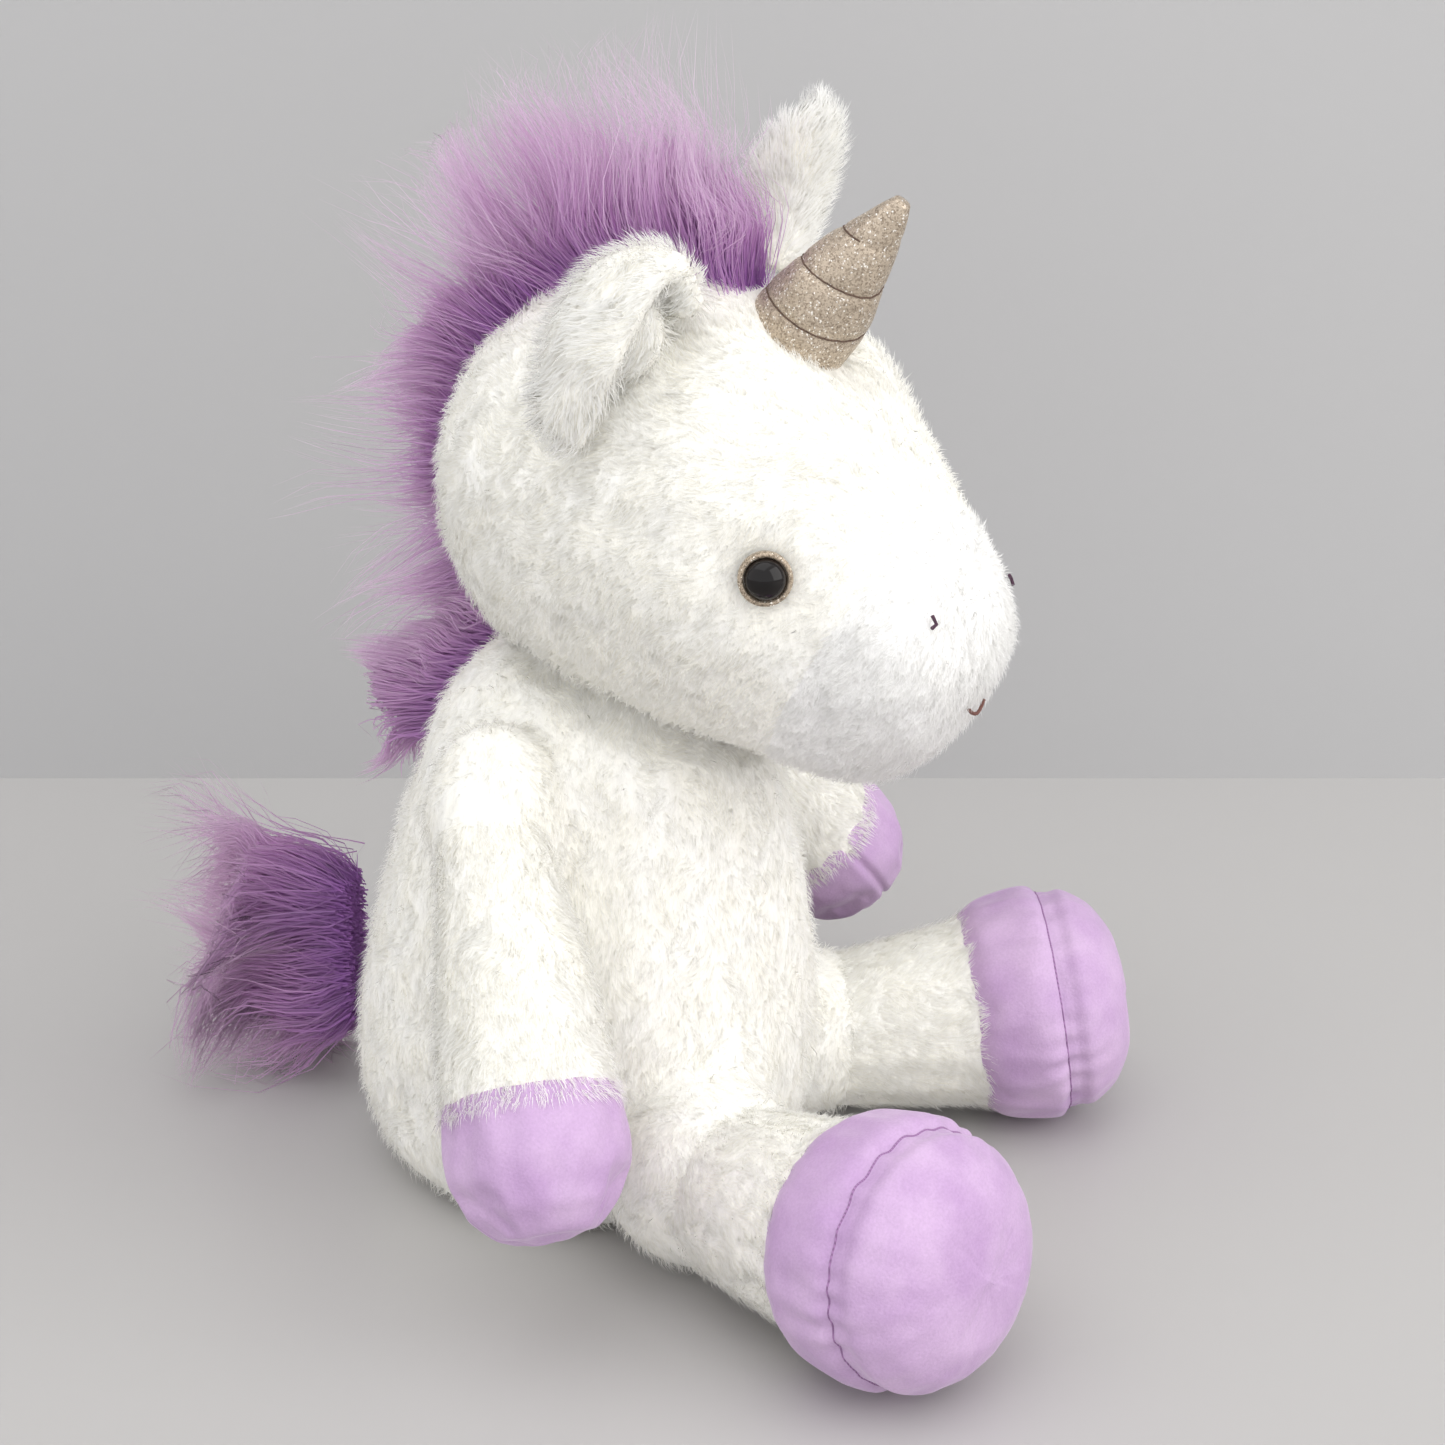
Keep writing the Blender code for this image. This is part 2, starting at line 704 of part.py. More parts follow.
def make_leg(name, hip, hoof):
    """A furry sleeve, the hoof's band and domed sole, the filling and a pouch of pellets."""
    pivot = add_pivot(name + "_hip", hip, limb_turn(hip, hoof))
    gap = SEAM_GAP / MM
    sleeve = add_turned(name + "_leg_cover", LEG_PROFILE, WHITE, pivot)
    thicken(sleeve, FABRIC)
    band = add_turned(name + "_hoof_band", shifted(BAND_PROFILE, gap), LILAC, pivot, steps=ROUND_STEPS)
    thicken(band, FABRIC)
    sole = add_turned(name + "_hoof_sole", shifted(SOLE_PROFILE, 2 * gap), LILAC, pivot,
                      steps=ROUND_STEPS)
    thicken(sole, FABRIC)

    rows = filling_profile(LEG_PROFILE + BAND_PROFILE[1:], LEG_FILLING, FILLING_MARGIN)
    add_turned(name + "_leg_stuffing", rows, FILLING, pivot)
    add_turned(name + "_hoof_pellets", PELLET_PROFILE, PELLET, pivot)


def limb_cutters():
    cutters = []
    seats = (("right_arm_seat", mirrored(SHOULDER, -1), ARM_SOCKET),
             ("left_arm_seat", SHOULDER, ARM_SOCKET),
             ("right_leg_seat", RIGHT_HIP, LEG_SOCKET), ("left_leg_seat", LEFT_HIP, LEG_SOCKET))
    for name, place, radius in seats:
        cutters.append(add_cutter(name, sphere_mesh(name, radius, place)))
    return cutters


# Ears


def ear_layer(path, across, offset, steps=6):
    """A leaf-shaped skin along the path, cupped, moved sideways by the offset."""
    bm = bmesh.new()
    rows = smooth_rows([(*point, width) for point, width in zip(path, EAR_WIDTHS)], 2)
    grid = []
    for i, row in enumerate(rows):
        here = Vector(row[:3]) * MM
        before, after = rows[max(i - 1, 0)], rows[min(i + 1, len(rows) - 1)]
        along = (Vector(after[:3]) - Vector(before[:3])).normalized()
        side = (across - along * across.dot(along)).normalized()
        out = along.cross(side)
        line = []
        for k in range(steps):
            share = 2 * k / (steps - 1) - 1
            cup = out * (share * share * row[3] * EAR_CUP * MM + offset)
            line.append(bm.verts.new(here + side * share * row[3] * MM + cup))
        grid.append(line)
    for low, high in zip(grid, grid[1:]):
        for k in range(steps - 1):
            bm.faces.new((low[k], low[k + 1], high[k + 1], high[k]))
    bmesh.ops.recalc_face_normals(bm, faces=bm.faces)
    return bm


def make_ear(name, path, across):
    """A long-pile outer leaf and a thinner lining, sewn round the edge."""
    for label, colour, thick, side in (("outer", WHITE, EAR_PILE, 1),
                                       ("inner", MUZZLE_WHITE, EAR_LINING, -1)):
        bm = ear_layer(path, across, side * (thick / 2 + SEAM_GAP))
        ear = add_object(name + "_ear_" + label, bm_to_mesh(name + "_ear_" + label, bm), colour)
        thicken(ear, thick, offset=0.0)


# Mane and tail


def make_mane(name, roots):
    """A wedge of long pile standing on its root line."""
    rings = []
    for y, z, tip_y, tip_z in smooth_rows(roots, 2):
        root, tip = Vector((0, y, z)) * MM, Vector((0, tip_y, tip_z)) * MM
        lift = (tip - root).normalized() * MANE_LIFT
        ring = []
        for share, half in ((0, MANE_ROOT_HALF), (0.6, MANE_MIDDLE_HALF), (1, MANE_TIP_HALF)):
            ring.append(root + lift + (tip - root - lift) * share + Vector((half, 0, 0)))
        rings.append(ring + [Vector((-p.x, p.y, p.z)) for p in reversed(ring)])
    add_object(name, bm_to_mesh(name, loft(rings)), PURPLE)


def make_tail():
    """A bundle of long pile on a rounded core that turns on the hinge line."""
    up = TAIL_ROOT_HIGH - TAIL_ROOT_LOW
    middle = (TAIL_ROOT_HIGH + TAIL_ROOT_LOW) / 2
    place = outward_place(middle, up.normalized())
    core = cylinder_mesh("tail_core", TAIL_CORE_RADIUS, up.length, place)
    add_object("tail_core", core, PURPLE)
    rings = []
    for behind, height, half_height, half_width in smooth_rows(TAIL_SECTIONS, 2):
        ring = []
        for i in range(LIMB_STEPS):
            angle = 2 * math.pi * i / LIMB_STEPS
            ring.append(Vector((half_width * math.cos(angle), middle.y / MM + behind,
                                height + half_height * math.sin(angle))) * MM)
        rings.append(ring)
    add_object("tail_pile", bm_to_mesh("tail_pile", loft(rings)), PURPLE)


def make_whole_head():
    """Everything that the head carries, then turned together a little to its right."""
    others = set(bpy.data.objects)
    make_head()
    for side, name in ((-1, "right"), (1, "left")):
        make_eye(side, name)
    make_face_stitches()
    make_horn()
    make_ear("right", RIGHT_EAR_PATH, RIGHT_EAR_ACROSS)
    make_ear("left", LEFT_EAR_PATH, LEFT_EAR_ACROSS)
    make_mane("mane_head", MANE_HEAD_ROOTS)
    pieces = [thing for thing in bpy.data.objects if thing not in others]
    pivot = add_pivot("head_pivot", NECK_CENTRE, Matrix.Rotation(HEAD_TURN, 3, "Z"))
    for piece in pieces:
        piece.parent = pivot
        piece.matrix_parent_inverse = Matrix.Translation(-NECK_CENTRE)


def main():
    make_body(limb_cutters())
    make_care_label()
    make_neck_gusset()
    make_whole_head()
    make_leg("right", RIGHT_HIP, RIGHT_LEG_HOOF)
    make_leg("left", LEFT_HIP, LEFT_LEG_HOOF)
    make_arm(-1, "right", RIGHT_HOOF)
    make_arm(1, "left", LEFT_HOOF)
    make_mane("mane_neck", MANE_NECK_ROOTS)
    make_tail()


main()
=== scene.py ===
"""Looks of the sitting plush unicorn: fur, minky hooves, glitter horn, mane, tail and studio."""

import json
import math

import bmesh
import bpy
import numpy as np
from mathutils import Matrix, Vector
from mathutils.bvhtree import BVHTree
from mathutils.kdtree import KDTree


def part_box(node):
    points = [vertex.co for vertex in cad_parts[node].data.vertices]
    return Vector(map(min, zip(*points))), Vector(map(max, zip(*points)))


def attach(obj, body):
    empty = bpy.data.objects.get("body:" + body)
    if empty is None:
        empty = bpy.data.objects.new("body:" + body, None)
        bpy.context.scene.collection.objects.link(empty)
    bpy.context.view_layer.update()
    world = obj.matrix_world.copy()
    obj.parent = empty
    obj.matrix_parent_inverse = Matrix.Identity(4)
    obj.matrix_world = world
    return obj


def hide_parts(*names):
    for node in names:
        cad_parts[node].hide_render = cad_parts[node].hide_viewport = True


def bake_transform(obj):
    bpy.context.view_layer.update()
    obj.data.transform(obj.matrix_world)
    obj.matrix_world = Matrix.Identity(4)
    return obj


MM = 0.001
REACH = 0.4  # rays at the CAD start this far out
SIDES = ("right", "left")
UP = Vector((0, 0, 1))
TURN = 2 * math.pi

# Fur: strands in each coat and their length and width
TORSO_STRANDS = 60000
HEAD_STRANDS = 66000
NECK_STRANDS = 11000
MUZZLE_STRANDS = 24000
ARM_STRANDS = 20000
LEG_STRANDS = 16000
EAR_STRANDS = 5500
MANE_STRANDS = 9000
MANE_NECK_STRANDS = 2200
TAIL_STRANDS = 5200
COAT_LENGTH = 5.4 * MM
COAT_WIDTH = 0.34 * MM
PILE_TOP = 325 * MM  # no lock stands higher
ROOT_DEPTH = 0.6 * MM  # strands start this far under the skin
TIP_SHARE = 0.35  # width of a strand near its tip, as a share of its root's
TABLE_GAP = 0.4 * MM  # no strand lies lower
TONES = 16
GLOW = 0.5  # share of a fibre's light that comes through it

# Mane: place round the head in degrees from its front, lean of the locks back from upright, length
MANE_TURNS = (61, 75, 90, 105, 125, 150, 180, 213)
MANE_LEAN = (0, 14, 32, 48, 64, 84, 103, 128)
MANE_LENGTHS = (40, 48, 55, 56, 48, 39, 37, 40)
MANE_HEART = (0, -22, 200)  # the turns are counted round this point of the head

# Crease between body and head: a tilted plane and the half height of the band it bends in
CREASE_POINT = Vector((0, -20, 151)) * MM
CREASE_NORMAL = Vector((0, -0.40, 0.917)).normalized()
CREASE_BAND = 5 * MM
CREASE_LOW = CREASE_POINT - CREASE_NORMAL * CREASE_BAND
CREASE_HIGH = CREASE_POINT + CREASE_NORMAL * CREASE_BAND

# Camera
CAMERA_PLACE = Vector((-0.570, -0.284, 0.364))
CAMERA_FORWARD = Vector((0.865, 0.367, -0.342))
CAMERA_LENS = 60.5
WALL_DISTANCE = 0.933

# Studio
TABLE_COLOUR = (0.475, 0.465, 0.455)
WALL_COLOUR = (0.455, 0.453, 0.453)
SKY = (0.985, 0.985, 1.0, 1)
SKY_STRENGTH = 1.28
LIGHT_AIM = Vector((0, -0.01, 0.13))
LIGHT_SIZE = 1.8
# Place, power and colour of each lamp
LIGHTS = {"window": ((-0.2, -1.75, 1.0), 16.5, (1.0, 0.99, 0.97)),
          "overhead": ((-0.4, 0.1, 1.9), 8.5, (0.99, 0.995, 1.0))}

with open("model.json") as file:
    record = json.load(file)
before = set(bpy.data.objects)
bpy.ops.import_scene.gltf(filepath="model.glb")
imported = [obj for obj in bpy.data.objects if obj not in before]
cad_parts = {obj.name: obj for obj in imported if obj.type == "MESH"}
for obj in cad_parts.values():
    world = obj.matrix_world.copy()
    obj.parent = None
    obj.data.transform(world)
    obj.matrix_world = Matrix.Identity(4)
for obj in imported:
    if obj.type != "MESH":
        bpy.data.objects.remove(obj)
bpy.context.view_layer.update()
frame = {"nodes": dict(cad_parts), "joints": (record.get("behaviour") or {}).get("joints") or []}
scene = bpy.context.scene
NODES = frame["nodes"]
JOINTS = {joint["name"]: joint for joint in frame["joints"]}


def joint_place(name):
    return Vector(JOINTS[name]["pos_m"])


NECK = joint_place("neck_turn")
HEAD_X = Vector(JOINTS["neck_nod"]["axis"]).normalized()
HEAD_Y = UP.cross(HEAD_X)


def head_point(x, y, z):
    """A point given in millimetres in the head's own straight frame."""
    return NECK + (HEAD_X * x + HEAD_Y * y) * MM + Vector((0, 0, z * MM)) - Vector((0, 0, NECK.z)) \
        - HEAD_Y * NECK.y


def head_local(points):
    """World points as millimetres in the head's own straight frame."""
    away = points - np.array(NECK)
    x = away @ np.array(HEAD_X)
    y = away @ np.array(HEAD_Y) + NECK.y
    return np.column_stack((x, y, away[:, 2] + NECK.z)) / MM


def centre(*names):
    corners = [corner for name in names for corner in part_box(name)]
    low = Vector([min(c[k] for c in corners) for k in range(3)])
    high = Vector([max(c[k] for c in corners) for k in range(3)])
    return (low + high) / 2


def cad_points(*names):
    return np.array([v.co for name in names for v in NODES[name].data.vertices])


# Materials


def material(name, **values):
    mat = bpy.data.materials.new(name)
    mat.use_nodes = True
    shader = mat.node_tree.nodes["Principled BSDF"]
    for key, value in values.items():
        shader.inputs[key.replace("_", " ")].default_value = value
    return mat, mat.node_tree, shader


def node(tree, kind, **values):
    made = tree.nodes.new("ShaderNode" + kind)
    for key, value in values.items():
        if key.startswith("in_"):
            made.inputs[key[3:].replace("_", " ")].default_value = value
        else:
            setattr(made, key, value)
    return made


def link(output, target, socket):
    target.id_data.links.new(output, target.inputs[socket])


def ramp(factor, *stops):
    """Colours or greys at positions along the factor."""
    made = node(factor.id_data, "ValToRGB")
    elements = made.color_ramp.elements
    while len(elements) < len(stops):
        elements.new(0.5)
    for element, (position, colour) in zip(elements, stops):
        element.position = position
        element.color = (*colour, 1) if isinstance(colour, tuple) else (colour, colour, colour, 1)
    link(factor, made, "Fac")
    return made.outputs["Color"]


def dimmed(colour, share):
    return tuple(c * share for c in colour)


def mix(tree, kind, factor, first, second):
    made = node(tree, "Mix")
    made.data_type = "RGBA"
    made.blend_type = kind
    for socket, value in ((0, factor), (6, first), (7, second)):
        if isinstance(value, float):
            made.inputs[socket].default_value = value
        else:
            link(value, made, socket)
    return made.outputs[2]


def noise(tree, scale, detail=3.0, stretch=(1, 1, 1)):
    place = node(tree, "TexCoord")
    squeeze = node(tree, "Mapping", in_Scale=stretch)
    link(place.outputs["Object"], squeeze, "Vector")
    made = node(tree, "TexNoise", in_Scale=scale, in_Detail=detail)
    link(squeeze.outputs["Vector"], made, "Vector")
    return made.outputs["Fac"]


def add_bump(shader, relief, strength, depth):
    bump = node(shader.id_data, "Bump", in_Strength=strength, in_Distance=depth)
    link(relief, bump, "Height")
    link(bump.outputs["Normal"], shader, "Normal")


def strand_material(name, root, middle, tip, dark):
    """Colour from root to tip along a strand, with each strand's own tone."""
    mat, tree, shader = material(name, Roughness=0.85, Specular_IOR_Level=0.12, Sheen_Weight=0.25,
                                 Sheen_Roughness=0.5)
    place = node(tree, "UVMap", uv_map="OFBake")
    split = node(tree, "SeparateXYZ")
    link(place.outputs["UV"], split, "Vector")
    along = ramp(split.outputs["Y"], (0.0, root), (0.45, middle), (1.0, tip))
    tone = ramp(split.outputs["X"], (0.0, dark), (1.0, 1.0))
    colour = mix(tree, "MULTIPLY", 1.0, along, tone)
    link(colour, shader, "Base Color")
    # Fibres let through much of the light that falls on their far side
    glow = node(tree, "BsdfTranslucent")
    link(colour, glow, "Color")
    both = node(tree, "MixShader", in_Fac=GLOW)
    link(shader.outputs["BSDF"], both, 1)
    link(glow.outputs["BSDF"], both, 2)
    link(both.outputs["Shader"], tree.nodes["Material Output"], "Surface")
    return mat


def backing_material(name, light, shade, scale):
    """The knitted ground under the pile, mottled where tufts part."""
    mat, tree, shader = material(name, Roughness=0.95, Sheen_Weight=0.3)
    patches = ramp(noise(tree, 90), (0.35, shade), (0.65, light))
    fibres = ramp(noise(tree, scale, 4, (1, 1, 0.35)), (0.3, 0.86), (0.7, 1.0))
    link(mix(tree, "MULTIPLY", 1.0, patches, fibres), shader, "Base Color")
    add_bump(shader, noise(tree, scale * 2, 3, (1, 1, 0.3)), 0.5, 0.6 * MM)
    return mat


def minky_material():
    """Short brushed pile: soft sheen, faint brushed patches and fine fuzz."""
    mat, tree, shader = material("minky_lilac", Sheen_Weight=0.45, Sheen_Roughness=0.35,
                                 Sheen_Tint=(0.98, 0.9, 1.0, 1), Specular_IOR_Level=0.2)
    brushed = ramp(noise(tree, 55, 4), (0.34, (0.50, 0.33, 0.55)), (0.66, (0.61, 0.435, 0.645)))
    fuzz = ramp(noise(tree, 1500, 2), (0.3, 0.90), (0.7, 1.0))
    link(mix(tree, "MULTIPLY", 1.0, brushed, fuzz), shader, "Base Color")
    link(ramp(noise(tree, 70), (0.3, 0.8), (0.7, 0.95)), shader, "Roughness")
    both = mix(tree, "ADD", 0.35, noise(tree, 1300, 2), noise(tree, 260, 4))
    add_bump(shader, both, 0.35, 0.35 * MM)
    return mat


def glitter_material(name, scale, base, dark, painted_glint):
    """Flakes in a clear binder, each coloured for the angle it would lie at: painted shade and painted
    glints.
    """
    mat, tree, shader = material(name, Metallic=0.55)
    place = node(tree, "TexCoord")
    cells = node(tree, "TexVoronoi", in_Scale=scale)
    link(place.outputs["Object"], cells, "Vector")
    split = node(tree, "SeparateColor")
    link(cells.outputs["Color"], split, "Color")
    # Darker flakes are painted shade and the brightest few are painted glints.
    flakes = ramp(split.outputs["Red"], (0.0, dark), (0.55, base), (0.93, base), (0.97, painted_glint))
    link(flakes, shader, "Base Color")
    link(ramp(split.outputs["Green"], (0.0, 0.25), (1.0, 0.6)), shader, "Roughness")
    add_bump(shader, split.outputs["Blue"], 0.9, 0.35 * MM)
    return mat


def woven_material(name, dark, light, roughness, scale, distortion, bump):
    """Waves of yarn: twisted thread or satin tape, darker in the grooves of the waves as painted shade.
    """
    mat, tree, shader = material(name, Roughness=roughness)
    wave = node(tree, "TexWave", in_Scale=scale, in_Distortion=distortion)
    link(ramp(wave.outputs["Fac"], (0.0, dark), (1.0, light)), shader, "Base Color")
    add_bump(shader, wave.outputs["Fac"], bump, 0.1 * MM)
    return mat


def thread_material(name, colour):
    # The grooves between the twists get 0.6 of the thread's colour: painted shade.
    return woven_material(name, dimmed(colour, 0.6), colour, 0.7, 900, 1.5, 0.4)


def mottled_material(name, colour, darkest, scale, **values):
    """A plain surface with patches down to the darkest share of its colour."""
    mat, tree, shader = material(name, **values)
    patches = ramp(noise(tree, scale), (0.3, dimmed(colour, darkest)), (0.7, colour))
    link(patches, shader, "Base Color")
    return mat


# Name, colours at the root, middle and tip, and the darkest strand's tone
WHITE_PILE, MUZZLE_PILE, EAR_PILE, PURPLE_PILE, PINK_PILE, TAIL_PILE, WISP_PILE = (
    strand_material(*pile) for pile in (
        # The white piles' roots are creamier: partly the fibres' own warm tint, partly painted warm
        # shade deep in the pile.
        ("white_pile", (0.965, 0.945, 0.86), (0.98, 0.973, 0.94), (0.99, 0.988, 0.975), 0.975),
        ("muzzle_pile", (0.97, 0.96, 0.93), (0.985, 0.98, 0.965), (0.99, 0.99, 0.99), 0.98),
        ("ear_pile", (0.975, 0.96, 0.91), (0.985, 0.98, 0.96), (0.99, 0.99, 0.98), 0.98),
        ("purple_pile", (0.42, 0.17, 0.54), (0.65, 0.36, 0.67), (0.87, 0.66, 0.84), 0.82),
        ("pink_pile", (0.52, 0.25, 0.60), (0.72, 0.45, 0.73), (0.88, 0.70, 0.86), 0.84),
        ("tail_pile", (0.46, 0.21, 0.57), (0.69, 0.41, 0.70), (0.90, 0.70, 0.86), 0.80),
        ("purple_wisps", (0.60, 0.32, 0.66), (0.80, 0.56, 0.80), (0.92, 0.78, 0.90), 0.9)))
WHITE_GROUND = backing_material("white_ground", (0.97, 0.96, 0.915), (0.955, 0.935, 0.855), 420)
MUZZLE_GROUND = backing_material("muzzle_ground", (0.97, 0.965, 0.95), (0.95, 0.945, 0.92), 600)
MINKY = minky_material()
# Glitter: flake colour, the darkest flakes' painted shade and the painted glint colour.
HORN_GLITTER = glitter_material("horn_glitter", 2600, (0.56, 0.47, 0.37), (0.27, 0.21, 0.155),
                                (0.98, 0.94, 0.88))
RING_GLITTER = glitter_material("ring_glitter", 3000, (0.50, 0.41, 0.31), (0.16, 0.12, 0.085),
                                (1.0, 0.95, 0.85))
HORN_THREAD = thread_material("horn_thread_brown", (0.13, 0.075, 0.05))
NOSE_THREAD = thread_material("nose_thread", (0.09, 0.035, 0.07))
MOUTH_THREAD = thread_material("mouth_thread", (0.22, 0.09, 0.07))
HOOF_THREAD = thread_material("hoof_thread", (0.40, 0.22, 0.43))


# Skins

CREASE = "crease"

def placed(name, data):
    thing = bpy.data.objects.new(name, data)
    scene.collection.objects.link(thing)
    return thing


def new_piece(name, data, look, body, stands_for=()):
    """A piece on a body; one on CREASE is left free of both bodies, with its placement baked into its
    points.
    """
    piece = placed(name, data)
    data.materials.append(look)
    if body == CREASE:
        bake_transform(piece)
    else:
        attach(piece, body)
    if stands_for:
        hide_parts(*stands_for)
    return piece


def thread_piece(name, places, radius, rounding, look, body, closed=False, stands_for=()):
    """A round thread through the places."""
    curve = bpy.data.curves.new(name, "CURVE")
    curve.dimensions = "3D"
    curve.bevel_depth = radius
    curve.bevel_resolution = rounding
    spline = curve.splines.new("POLY")
    spline.points.add(len(places) - 1)
    for point, where in zip(spline.points, places):
        point.co = (*where, 1)
    spline.use_cyclic_u = closed
    new_piece(name, curve, look, body, stands_for)


def tree_of(meshes):
    points, faces = [], []
    for mesh in meshes:
        base = len(points)
        points += [v.co.copy() for v in mesh.vertices]
        faces += [[base + i for i in face.vertices] for face in mesh.polygons]
    return BVHTree.FromPolygons(points, faces)


def cad_tree(names):
    return tree_of([NODES[name].data for name in names])


def wrapped(names, start, end, detail=5, holes=()):
    """A closed skin over the CAD nodes, cast inwards to the line from start to end.
    Sockets, given as (point, radius), are spanned by fabric from their rims."""
    tree = cad_tree(names)
    middle, half = (start + end) / 2, (end - start) / 2
    along = half.normalized()
    bm = bmesh.new()
    bmesh.ops.create_icosphere(bm, subdivisions=detail, radius=1)
    spanning = []
    for v in bm.verts:
        way = v.co.normalized()
        target = middle + half * way.dot(along)
        hit = tree.ray_cast(target + way * REACH, -way)[0]
        v.co = hit if hit is not None else target
        if hit is None or any((v.co - place).length < radius for place, radius in holes):
            spanning.append((v, [edge.other_vert(v) for edge in v.link_edges]))
    for _ in range(160 if spanning else 0):
        for v, others in spanning:
            v.co = sum((other.co for other in others), Vector()) / len(others)
    return bm


def to_mesh(bm, name):
    mesh = bpy.data.meshes.new(name)
    bm.to_mesh(mesh)
    bm.free()
    return mesh


def evaluated(thing):
    graph = bpy.context.evaluated_depsgraph_get()
    return bpy.data.meshes.new_from_object(thing.evaluated_get(graph), depsgraph=graph)


def modified(mesh, *steps):
    """The mesh after modifiers, each given as its kind and a dict of its values."""
    thing = placed("work", mesh)
    for kind, values in steps:
        modifier = thing.modifiers.new(kind.lower(), kind)
        for key, value in values.items():
            setattr(modifier, key, value)
    result = evaluated(thing)
    bpy.data.objects.remove(thing)
    return result


def smoothed(mesh, rounds):
    return modified(mesh, ("SMOOTH", {"iterations": rounds}))


def remeshed(parts, voxel, rounds):
    """One smoothed skin round all the parts."""
    whole = bmesh.new()
    for part in parts:
        mesh = to_mesh(part, "part")
        whole.from_mesh(mesh)
        bpy.data.meshes.remove(mesh)
    result = modified(to_mesh(whole, "whole"), ("REMESH", {"mode": "VOXEL", "voxel_size": voxel}),
                      ("SMOOTH", {"iterations": rounds}))
    result.shade_smooth()
    return result


def subdivided(mesh, levels):
    result = modified(mesh, ("SUBSURF", {"levels": levels, "render_levels": levels}))
    result.shade_smooth()
    return result


def rows_of_three(items, key):
    values = np.zeros(len(items) * 3, np.float32)
    items.foreach_get(key, values)
    return values.reshape(-1, 3)


def mesh_points(mesh):
    return rows_of_three(mesh.vertices, "co").astype(float)


def vertex_normals(mesh):
    return rows_of_three(mesh.vertex_normals, "vector")


def set_points(mesh, points):
    mesh.vertices.foreach_set("co", np.ascontiguousarray(points, np.float32).ravel())
    mesh.update()


def swirl(points, size, seed):
    """Smooth noise vectors about 1 long, with bumps of this size."""
    rng = np.random.default_rng(seed)
    total = np.zeros((len(points), 3))
    for octave in range(3):
        ways = rng.normal(size=(6, 3))
        ways /= np.linalg.norm(ways, axis=1)[:, None]
        for way in ways:
            phase = points @ way * (2 * math.pi / size * 1.6 ** octave) + rng.uniform(0, 6.28)
            total += np.sin(phase)[:, None] * rng.normal(size=3) * 0.33 / 1.5 ** octave
    return total


def unit(vectors):
    return vectors / np.maximum(np.linalg.norm(vectors, axis=1), 1e-9)[:, None]


def distance(points, place):
    return np.linalg.norm(points - np.array(place), axis=1)


def height(points, place, way):
    """How far the points are from the place along the way."""
    return (points - np.array(place)) @ np.array(way)


def cut_mesh(mesh, planes):
    """A copy of the mesh on the inner side of each (point, outward normal) plane."""
    bm = bmesh.new()
    bm.from_mesh(mesh)
    for place, outward in planes:
        everything = bm.verts[:] + bm.edges[:] + bm.faces[:]
        bmesh.ops.bisect_plane(bm, geom=everything, dist=1e-6, plane_co=place, plane_no=outward,
                               clear_outer=True)
    result = to_mesh(bm, "cut")
    result.shade_smooth()
    return result


# Fur


def sample_skin(mesh, count, rng, keep=None):
    """Random places on the skin with their normals; keep gives 0 to 1 at a place."""
    points = mesh_points(mesh)
    normals = vertex_normals(mesh).astype(float)
    mesh.calc_loop_triangles()
    corners = np.zeros(len(mesh.loop_triangles) * 3, np.int32)
    mesh.loop_triangles.foreach_get("vertices", corners)
    corners = corners.reshape(-1, 3)
    a, b, c = (points[corners[:, k]] for k in range(3))
    area = np.linalg.norm(np.cross(b - a, c - a), axis=1)
    if keep is not None:
        area = area * keep((a + b + c) / 3)
    picks = np.searchsorted(np.cumsum(area) / area.sum(), rng.random(count))
    picks = np.minimum(picks, len(area) - 1)
    u, v = rng.random(count), rng.random(count)
    flip = u + v > 1
    u[flip], v[flip] = 1 - u[flip], 1 - v[flip]
    shares = np.column_stack((1 - u - v, u, v))[:, :, None]
    places = (points[corners[picks]] * shares).sum(1)
    outs = unit((normals[corners[picks]] * shares).sum(1))
    if keep is not None:
        stay = rng.random(count) < np.clip(keep(places) * 4, 0, 1)
        places, outs = places[stay], outs[stay]
    return places, outs


def clump(paths, share, pull, rng):
    """Pulls strands towards a leader strand, more at the tips."""
    count = len(paths)
    leaders = rng.choice(count, max(count // share, 1), replace=False)
    tree = KDTree(len(leaders))
    for i, leader in enumerate(leaders):
        tree.insert(paths[leader, 0], i)
    tree.balance()
    nearest = leaders[[tree.find(place)[1] for place in paths[:, 0]]]
    strength = (pull * rng.uniform(0.35, 1.0, count))[:, None, None]
    along = (np.linspace(0, 1, paths.shape[1]) ** 1.5)[None, :, None]
    return paths + (paths[nearest] - paths) * strength * along


def strands(places, outs, ways, lengths, rows, lift, droop, rng, share, pull, jitter):
    """Paths of bending strands: they leave the skin with some lift and lie down along ways."""
    count = len(places)
    loose = rng.normal(size=(count, 3)) * jitter
    paths = np.zeros((count, rows, 3))
    paths[:, 0] = places - outs * ROOT_DEPTH
    lifts = lift * rng.uniform(0.7, 1.3, count)[:, None]
    step = (lengths / (rows - 1))[:, None]
    for row in range(1, rows):
        t = (row - 0.5) / (rows - 1)
        heading = unit(outs * lifts * (1 - droop * t) + ways * (0.55 + 0.75 * t) + loose)
        paths[:, row] = paths[:, row - 1] + heading * step
    return clump(paths, share, pull, rng)


